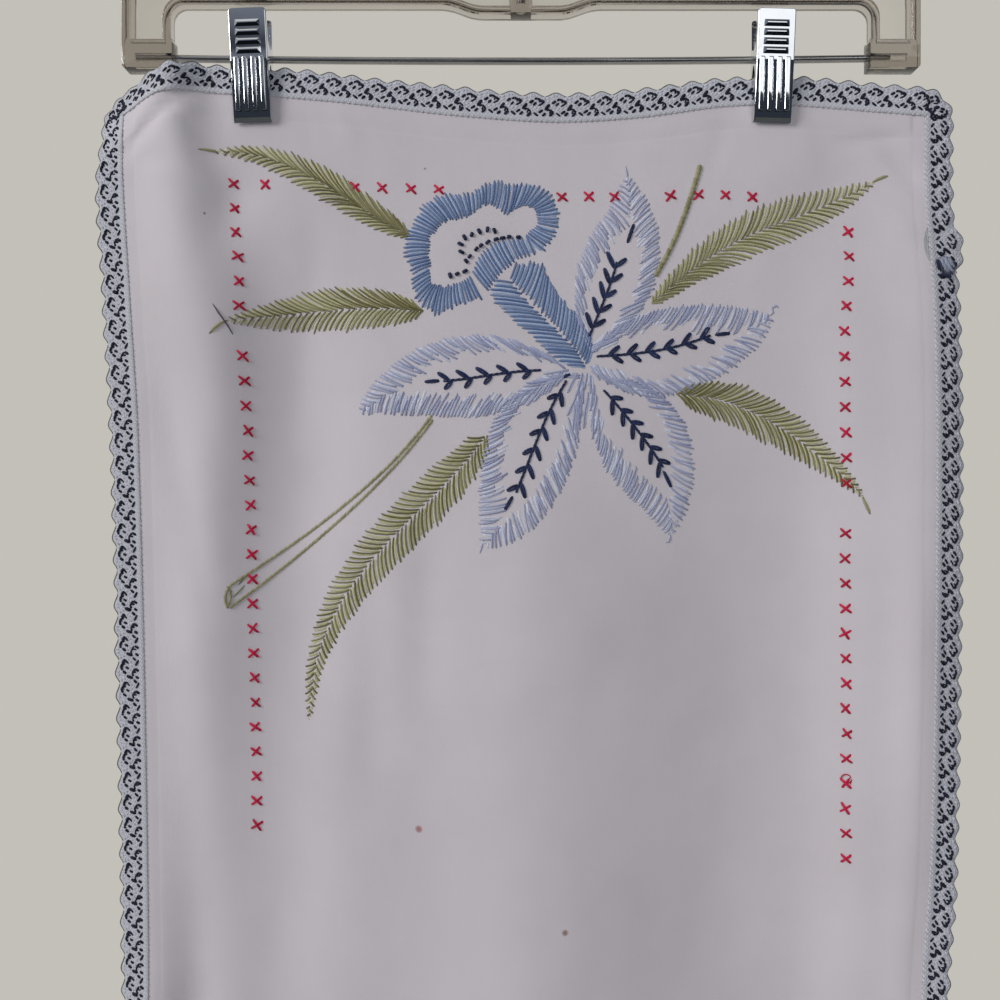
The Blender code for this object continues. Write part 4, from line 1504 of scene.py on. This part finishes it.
# %% The beam and its legs
HANGER_HALF = 0.1778
BEAM_TOP = -0.0700
BEAM_UNDERSIDE = -0.0956
DIP_UNDERSIDE = -0.1000
DIP_FLAT_HALF = 0.0205
DIP_HALF = 0.0325
LEG_INSIDE = 0.1566
LEG_END = -0.1244
END_BOX_TOP = -0.1118
END_BOX_LIP = 0.0012
FRAME_DEPTH = 0.0090
FLANGE = 0.0030
WEB = 0.0016
BOSS_HALF = 0.0045
TINY = 1e-5
hanger = add(
    bpy.ops.mesh.primitive_cube_add,
    size=1.0,
    location=(0, 0, (BEAM_TOP + BEAM_UNDERSIDE) / 2),
    scale=(2 * HANGER_HALF, FRAME_DEPTH, BEAM_TOP - BEAM_UNDERSIDE),
)
edit(hanger)
for place in (LEG_INSIDE, DIP_HALF, DIP_FLAT_HALF, BOSS_HALF - FLANGE):
    slice_at((place, 0, 0), (1, 0, 0))
    slice_at((-place, 0, 0), (1, 0, 0))
pick(hanger, lambda centre, normal: normal.z < -0.9 and abs(centre.x) > LEG_INSIDE)
extrude(z=LEG_END - BEAM_UNDERSIDE)
slice_at((0, 0, END_BOX_TOP - FLANGE), (0, 0, 1))
bpy.ops.mesh.select_mode(type="VERT")
pick(hanger, lambda place, normal: abs(place.x) < DIP_FLAT_HALF + TINY and place.z < BEAM_UNDERSIDE + TINY)
bpy.ops.transform.translate(value=(0, 0, DIP_UNDERSIDE - BEAM_UNDERSIDE))
print("beam and legs", len(hanger.data.vertices))

# %% Rounded corners and hollow faces
NEAR = 1e-4
CORNERS_ROUNDED = [  # x, z, radius, segments
    (HANGER_HALF, BEAM_TOP, 0.0160, 12),
    (LEG_INSIDE, BEAM_UNDERSIDE, 0.0062, 8),
    (DIP_HALF, BEAM_UNDERSIDE, 0.0036, 4),
    (DIP_FLAT_HALF, DIP_UNDERSIDE, 0.0036, 4),
    (HANGER_HALF, LEG_END, 0.0015, 3),
]
bpy.ops.mesh.select_mode(type="EDGE")
for x, z, radius, segments in CORNERS_ROUNDED:
    pick(
        hanger,
        lambda centre, run: abs(abs(centre.x) - x) < NEAR
        and abs(centre.z - z) < NEAR
        and abs(run.y) > 0.9 * run.length,
    )
    bpy.ops.mesh.bevel(offset=radius, segments=segments, affect="EDGES", clamp_overlap=False)
bpy.ops.mesh.select_mode(type="FACE")
pick(
    hanger,
    lambda centre, normal: abs(normal.y) > 0.9
    and BOSS_HALF - FLANGE < abs(centre.x) < HANGER_HALF
    and centre.z > END_BOX_TOP - FLANGE,
)
bpy.ops.mesh.inset(thickness=FLANGE, depth=0.0, use_even_offset=True, use_boundary=True)
bpy.ops.mesh.extrude_region_shrink_fatten(TRANSFORM_OT_shrink_fatten={"value": -(FRAME_DEPTH - WEB) / 2})
slice_at((0, 0, END_BOX_TOP + 0.0001), (0, 0, 1))
for side in (-1, 1):
    pick(
        hanger,
        lambda centre, normal: centre.z < END_BOX_TOP
        and normal.x * side < -0.9
        and abs(centre.x * side - LEG_INSIDE) < NEAR,
    )
    extrude(x=-side * END_BOX_LIP)
bpy.ops.object.mode_set(mode="OBJECT")
print("hollowed", len(hanger.data.polygons), "faces")

# %% Holes for the rod and the hook
ROD_RADIUS = 0.00165
ROD_LEFT = -0.1720
ROD_RIGHT = 0.1650
ROD_END_HEIGHT = -0.1189
ROD_SAG = 0.0012
ROD_HOLE = 0.0188
ROD_HOLE_MIDDLE = 0.1630
ROD_CLEARANCE = 0.0003
HOOK_WIRE = 0.0019
HOOK_FOOT = -0.0947
HOOK_CLEARANCE = 0.0002
ACROSS = (0, math.radians(90), 0)


def drill(piece, place, radius, depth, turned=(0, 0, 0)):
    """Cuts a round hole with a cylinder."""
    cylinder = bpy.ops.mesh.primitive_cylinder_add
    cutter = add(cylinder, vertices=32, radius=radius, depth=depth, location=place, rotation=turned)
    apply_modifier(piece, "BOOLEAN", operation="DIFFERENCE", object=cutter, solver="EXACT")
    bpy.data.objects.remove(cutter)


apply_modifier(hanger, "BEVEL", width=0.00045, segments=2, limit_method="ANGLE", angle_limit=math.radians(40))
for side in (-1, 1):
    place = (side * ROD_HOLE_MIDDLE, 0, ROD_END_HEIGHT)
    drill(hanger, place, ROD_RADIUS + ROD_CLEARANCE, ROD_HOLE, ACROSS)
shank = (HOOK_FOOT + BEAM_TOP) / 2
drill(hanger, (0, 0, shank), HOOK_WIRE + HOOK_CLEARANCE, BEAM_TOP - HOOK_FOOT + 0.0010)

# %% [markdown]
# ## Clear plastic
# Clear polystyrene lets light through, bends it strongly at its rounded edges, and has yellowed a little with
# age. Transmission does this, with very slight waviness from the mould. The warm tint is in the plastic
# itself, as an absorbing volume, so the thin web stays clear and the thick flanges and end boxes turn brown.
# Fine scratches break up the shine.

# %% Clear plastic
clear, clear_shader = new_finish("aged clear plastic", (0.95, 0.935, 0.910), 0.04)
clear_shader.inputs["Transmission Weight"].default_value = 1.0
clear_shader.inputs["IOR"].default_value = 1.50
place = node(clear, "TexCoord").outputs["Object"]
scuffs = pattern(clear, "TexNoise", place, scale=900.0, detail=3.0)
link(clear, ramp(clear, scuffs.outputs["Fac"], 0.45, 0.75, 0.03, 0.16), clear_shader.inputs["Roughness"])
ripples = pattern(clear, "TexNoise", place, scale=70.0, detail=1.0)
bump(clear, clear_shader, ripples.outputs["Fac"], 0.25, 0.0004)
tint = node(clear, "VolumeAbsorption", density=150.0)
tint.inputs["Color"].default_value = (0.50, 0.44, 0.37, 1.0)
link(clear, tint.outputs["Volume"], clear.node_tree.nodes["Material Output"].inputs["Volume"])
settle(hanger, "clear_hanger", clear, smooth=32)
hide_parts("hanger_frame")

# %% [markdown]
# ## Rod and hook
# The rod is a long cylinder, sliced so that it can sag a little between the legs. The hook is drawn as a wire
# is bent: a disc is extruded up the shank, spun round a small bend to the right, and spun on over the top of
# the big bend. Its tip is bevelled round. The bright chrome of the hook and the clips has painted shade: its
# colour is made near black where it faces down, as little light comes from there.

# %% Rod
ROD_SLICES = 24


def rod_height(x):
    """The rod sags a little between its ends."""
    return ROD_END_HEIGHT - ROD_SAG * max(0.0, 1 - (x / LEG_INSIDE) ** 2)


rod = add(
    bpy.ops.mesh.primitive_cylinder_add,
    vertices=28,
    radius=ROD_RADIUS,
    depth=ROD_RIGHT - ROD_LEFT,
    location=((ROD_LEFT + ROD_RIGHT) / 2, 0, 0),
    rotation=ACROSS,
)
edit(rod, "EDGE")
for step in range(ROD_SLICES + 1):
    slice_at((LEG_INSIDE * (2 * step / ROD_SLICES - 1), 0, 0), (1, 0, 0))
pick(rod, lambda centre, run: abs(run.x) < TINY and not ROD_LEFT + TINY < centre.x < ROD_RIGHT - TINY)
bpy.ops.mesh.bevel(offset=0.0004, segments=3, affect="EDGES")
bpy.ops.object.mode_set(mode="OBJECT")
for vertex in rod.data.vertices:
    vertex.co.z += rod_height(vertex.co.x)

steel, steel_shader = new_finish("drawn steel", (0.47, 0.47, 0.46), 0.28, 1.0)
place = node(steel, "TexCoord").outputs["Object"]
drawn = pattern(steel, "Mapping", place, scale=(18.0, 2200.0, 2200.0))
grain = pattern(steel, "TexNoise", drawn.outputs["Vector"], scale=1.0, detail=3.0).outputs["Fac"]
link(steel, ramp(steel, grain, 0.35, 0.7, 0.20, 0.42), steel_shader.inputs["Roughness"])
dull = pattern(steel, "TexNoise", place, scale=60.0, detail=4.0)
steel_tone = blend_colours(steel, dull.outputs["Fac"], (0.36, 0.355, 0.34), (0.56, 0.56, 0.55))
link(steel, steel_tone, steel_shader.inputs["Base Color"])
bump(steel, steel_shader, grain, 0.15, 0.0001)
settle(rod, "steel_rod", steel, smooth=40)
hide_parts("hanger_rod")

# %% Hook
HOOK_INSIDE = 0.0190
HOOK_BEND = 0.0090
HOOK_END_ANGLE = 205
big = HOOK_INSIDE + HOOK_WIRE
bend_height = -HOOK_INSIDE - math.sqrt(big**2 + 2 * big * HOOK_BEND)
bend_turn = math.atan2(-HOOK_INSIDE - bend_height, HOOK_BEND)
disc = bpy.ops.mesh.primitive_circle_add
hook = add(disc, vertices=28, radius=HOOK_WIRE, fill_type="NGON", location=(0, 0, HOOK_FOOT))
edit(hook)
bpy.ops.mesh.select_all(action="SELECT")
extrude(z=bend_height - HOOK_FOOT)
bpy.ops.mesh.spin(steps=12, angle=-bend_turn, center=(HOOK_BEND, 0, bend_height), axis=(0, 1, 0))
swept = bend_turn + math.radians(HOOK_END_ANGLE)
bpy.ops.mesh.spin(steps=56, angle=swept, center=(0, 0, -HOOK_INSIDE), axis=(0, 1, 0))
bpy.ops.mesh.select_mode(type="EDGE")
bpy.ops.mesh.region_to_loop()
bpy.ops.mesh.bevel(offset=0.0012, segments=4, affect="EDGES")
close_up()
low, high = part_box("hook")
print("hook spans", [round(value, 4) for value in low], [round(value, 4) for value in high])

chrome, chrome_shader = new_finish("bright chrome", (0.80, 0.82, 0.85), 0.05, 1.0)
place = node(chrome, "TexCoord").outputs
haze = pattern(chrome, "TexNoise", place["Object"], scale=240.0, detail=4.0)
link(chrome, ramp(chrome, haze.outputs["Fac"], 0.40, 0.75, 0.03, 0.08), chrome_shader.inputs["Roughness"])
wear = pattern(chrome, "TexNoise", place["Object"], scale=55.0, detail=3.0).outputs["Fac"]
chrome_wear_and_shade = blend_colours(chrome, wear, (0.70, 0.73, 0.77), (0.86, 0.88, 0.90))
# painted shade: where the chrome faces down, its colour is blended to near black, for the little light that
# comes from below
upward = pattern(chrome, "SeparateXYZ", place["Normal"]).outputs["Z"]
under = ramp(chrome, upward, -0.30, -0.45, 0.0, 0.90)
chrome_wear_and_shade = blend_colours(chrome, under, chrome_wear_and_shade, (0.060, 0.075, 0.078))
link(chrome, chrome_wear_and_shade, chrome_shader.inputs["Base Color"])
bump(chrome, chrome_shader, wear, 0.04, 0.0004)
settle(hook, "hanger_hook", chrome, smooth=40)
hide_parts("hook")

# %% [markdown]
# ## Clips
# Each clip is two pressed plates on the rod with a coil spring between them. A plate starts as a flat strip.
# It is sliced across where its profile bends, each slice is moved to its place, and the long edges are
# extruded back as turned sides, deepest at the rod where they become lugs. Solidify gives the sheet its
# thickness. The front plate has four pressed bars across its finger end and four flutes down its jaw.

# %% Sizes of a clip
CLIP_WIDTH = 0.0168
BACK_PLATE_WIDTH = 0.0166
PLATE = 0.0009
CLIP_PROFILE = [  # height above the rod, face, edge
    (0.0200, 0.0080, 0.0020),
    (0.0125, 0.0075, 0.0022),
    (0.0060, 0.0070, 0.0024),
    (0.0030, 0.0067, 0.0084),
    (0.0000, 0.0065, 0.0096),
    (-0.0026, 0.0064, 0.0084),
    (-0.0031, 0.0063, 0.0050),
    (-0.0080, 0.0058, 0.0022),
    (-0.0252, 0.0041, 0.0018),
    (-0.0272, 0.0037, 0.0014),
    (-0.0283, 0.0030, 0.0006),
    (-0.0288, 0.0018, 0.0),
]
CORNER = 0.0014


def profile(height, column):
    """Face or edge of the plate at this height, straight between the rows."""
    for upper, lower in zip(CLIP_PROFILE, CLIP_PROFILE[1:]):
        if lower[0] <= height + 1e-7:
            share = (height - lower[0]) / (upper[0] - lower[0])
            return lower[column] + (upper[column] - lower[column]) * share
    return CLIP_PROFILE[-1][column]


# %% One plate
def make_plate(width, facing_side):
    """A pressed plate about the rod's place; facing_side is -1 in front."""
    top = CLIP_PROFILE[0][0]
    bottom = CLIP_PROFILE[-1][0]
    middle = (0, 0, (top + bottom) / 2)
    nothing_selected()
    bpy.ops.mesh.primitive_plane_add(size=1.0, location=middle, rotation=(math.radians(90), 0, 0))
    plate = bpy.context.object
    plate.scale = (width, top - bottom, 1)
    bpy.ops.object.transform_apply(location=True, rotation=True, scale=True)
    edit(plate, "EDGE")
    heights = [row[0] for row in CLIP_PROFILE[1:-1]] + [0.0015, -0.0014]
    heights += [top - CORNER * share for share in (0.04, 0.13, 0.28, 0.50, 0.75, 1.0)]
    for height in heights:
        slice_at((0, 0, height), (0, 0, 1))

    def at_side(place):
        return abs(abs(place.x) - width / 2) < TINY

    pick(plate, lambda centre, run: at_side(centre) and centre.z > CLIP_PROFILE[-2][0] - TINY)
    extrude(y=0.001)
    bpy.ops.object.mode_set(mode="OBJECT")
    for vertex in plate.data.vertices:
        out = profile(vertex.co.z, 1)
        if vertex.co.y > 0.0005:
            out -= profile(vertex.co.z, 2)
        vertex.co.y = facing_side * out
    edit(plate, "EDGE")
    pick(
        plate,
        lambda centre, run: at_side(centre)
        and abs(centre.y - facing_side * profile(centre.z, 1)) < NEAR
        and abs(run.z) > 0.5 * run.length,
    )
    bpy.ops.mesh.bevel(offset=0.0006, segments=6, affect="EDGES", clamp_overlap=False)
    close_up()
    if sum(face.normal.y * face.area for face in plate.data.polygons) * facing_side < 0:
        plate.data.flip_normals()
    apply_modifier(plate, "SOLIDIFY", thickness=PLATE, offset=-1.0, use_even_offset=True)
    for vertex in plate.data.vertices:
        up = min(1.0, max(0.0, (vertex.co.z - top + CORNER) / CORNER))
        vertex.co.x *= 1 - CORNER * (1 - math.sqrt(1 - up**2)) / (width / 2)
    rounding = {"segments": 2, "limit_method": "ANGLE", "angle_limit": math.radians(50)}
    apply_modifier(plate, "BEVEL", width=0.00016, **rounding)
    return plate


# %% Pressed bars and flutes
BAR_HEIGHTS = (0.0136, 0.0097, 0.0058, 0.0019)
BAR_SIZE = (0.0112, 0.0012, 0.0032)
BAR_SLOPE = 0.00140
BAR_PROUD = 0.00071
BAR_CREST = 0.00008
FLUTE_TOP = -0.0008
FLUTE_END = -0.0246
FLUTE_PITCH = 0.0038
FLUTE_TILT = 0.042


def pressed_bar(height):
    """A bar with four sloping sides, like a low roof: its front face is inset and drawn forward."""
    place = (0, 0.0006 - profile(height, 1), height)
    bar = add(bpy.ops.mesh.primitive_cube_add, size=1.0, location=place, scale=BAR_SIZE)
    edit(bar)
    pick(bar, lambda centre, normal: normal.y < -0.9)
    bpy.ops.mesh.inset(thickness=BAR_SLOPE, depth=BAR_PROUD)
    bpy.ops.mesh.inset(thickness=BAR_CREST, depth=0.0)
    bpy.ops.object.mode_set(mode="OBJECT")
    return bar


def pressed_flute(x):
    """A rounded ridge down the jaw: a block with all its edges bevelled, leaned with the plate."""
    height = (FLUTE_TOP + FLUTE_END) / 2
    place = (x, 0.0002 - profile(height, 1), height)
    size = (0.0024, 0.0026, FLUTE_TOP - FLUTE_END)
    flute = add(bpy.ops.mesh.primitive_cube_add, size=1.0, location=place, scale=size)
    edit(flute, "EDGE")
    bpy.ops.mesh.select_all(action="SELECT")
    bpy.ops.mesh.bevel(offset=0.00060, segments=6, affect="EDGES")
    bpy.ops.object.mode_set(mode="OBJECT")
    for vertex in flute.data.vertices:
        vertex.co.y -= FLUTE_TILT * (vertex.co.z - height)
    return flute


def add_relief(plate):
    """Joins four bars across the finger end and four flutes down the jaw to the plate."""
    pressed = [pressed_bar(height) for height in BAR_HEIGHTS]
    pressed += [pressed_flute((index - 1.5) * FLUTE_PITCH) for index in range(4)]
    alone(plate)
    for piece in pressed:
        piece.select_set(True)
    bpy.ops.object.join()
    return plate


# %% Springs
SPRING_RADIUS = 0.00248
SPRING_WIRE = 0.00042
SPRING_LENGTH = 0.0108
SPRING_TURNS = 11
STEPS_A_TURN = 18


def make_spring():
    """A coil: a small disc on the spring's radius, wound by a screw modifier."""
    coil = add(disc, vertices=10, radius=SPRING_WIRE, location=(0, 0, SPRING_RADIUS))
    apply_modifier(
        coil,
        "SCREW",
        axis="X",
        angle=2 * math.pi * SPRING_TURNS,
        screw_offset=SPRING_LENGTH,
        iterations=1,
        steps=SPRING_TURNS * STEPS_A_TURN,
        render_steps=SPRING_TURNS * STEPS_A_TURN,
        use_smooth_shade=True,
    )
    edit(coil)
    bpy.ops.mesh.select_all(action="SELECT")
    bpy.ops.mesh.fill_holes(sides=12)
    close_up()
    for vertex in coil.data.vertices:
        vertex.co.x -= SPRING_LENGTH / 2
    return coil


# %% Two finished clips
front_plate = add_relief(make_plate(CLIP_WIDTH, -1))
back_plate = make_plate(BACK_PLATE_WIDTH, 1)
coil = make_spring()


def copy_to(source, place, tilt):
    """A copy with its own mesh, tilted in the plane of the hanger and moved."""
    made = source.copy()
    made.data = source.data.copy()
    bpy.context.scene.collection.objects.link(made)
    made.data.transform(Matrix.Translation(place) @ Matrix.Rotation(tilt, 4, "Y"))
    return made


for side, x, tilt in CLIPS:
    place = Vector((x, 0, rod_height(x)))
    lean = math.radians(tilt)
    slope = -math.atan(2 * ROD_SAG * x / LEG_INSIDE**2)
    for source, part, finish, turned in (
        (front_plate, "front", chrome, lean),
        (back_plate, "back", chrome, lean),
        (coil, "spring", steel, slope),
    ):
        made = settle(copy_to(source, place, turned), f"clip_{side}_{part}_pressed", finish, smooth=21)
        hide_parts(f"clip_{side}_{part}")
for source in (front_plate, back_plate, coil):
    bpy.data.objects.remove(source)

# %% [markdown]
# ## Last tidying
# Meshes that no object uses any more are removed.

# %% Remove unused meshes
for orphan in list(bpy.data.meshes):
    if orphan.users == 0:
        bpy.data.meshes.remove(orphan)
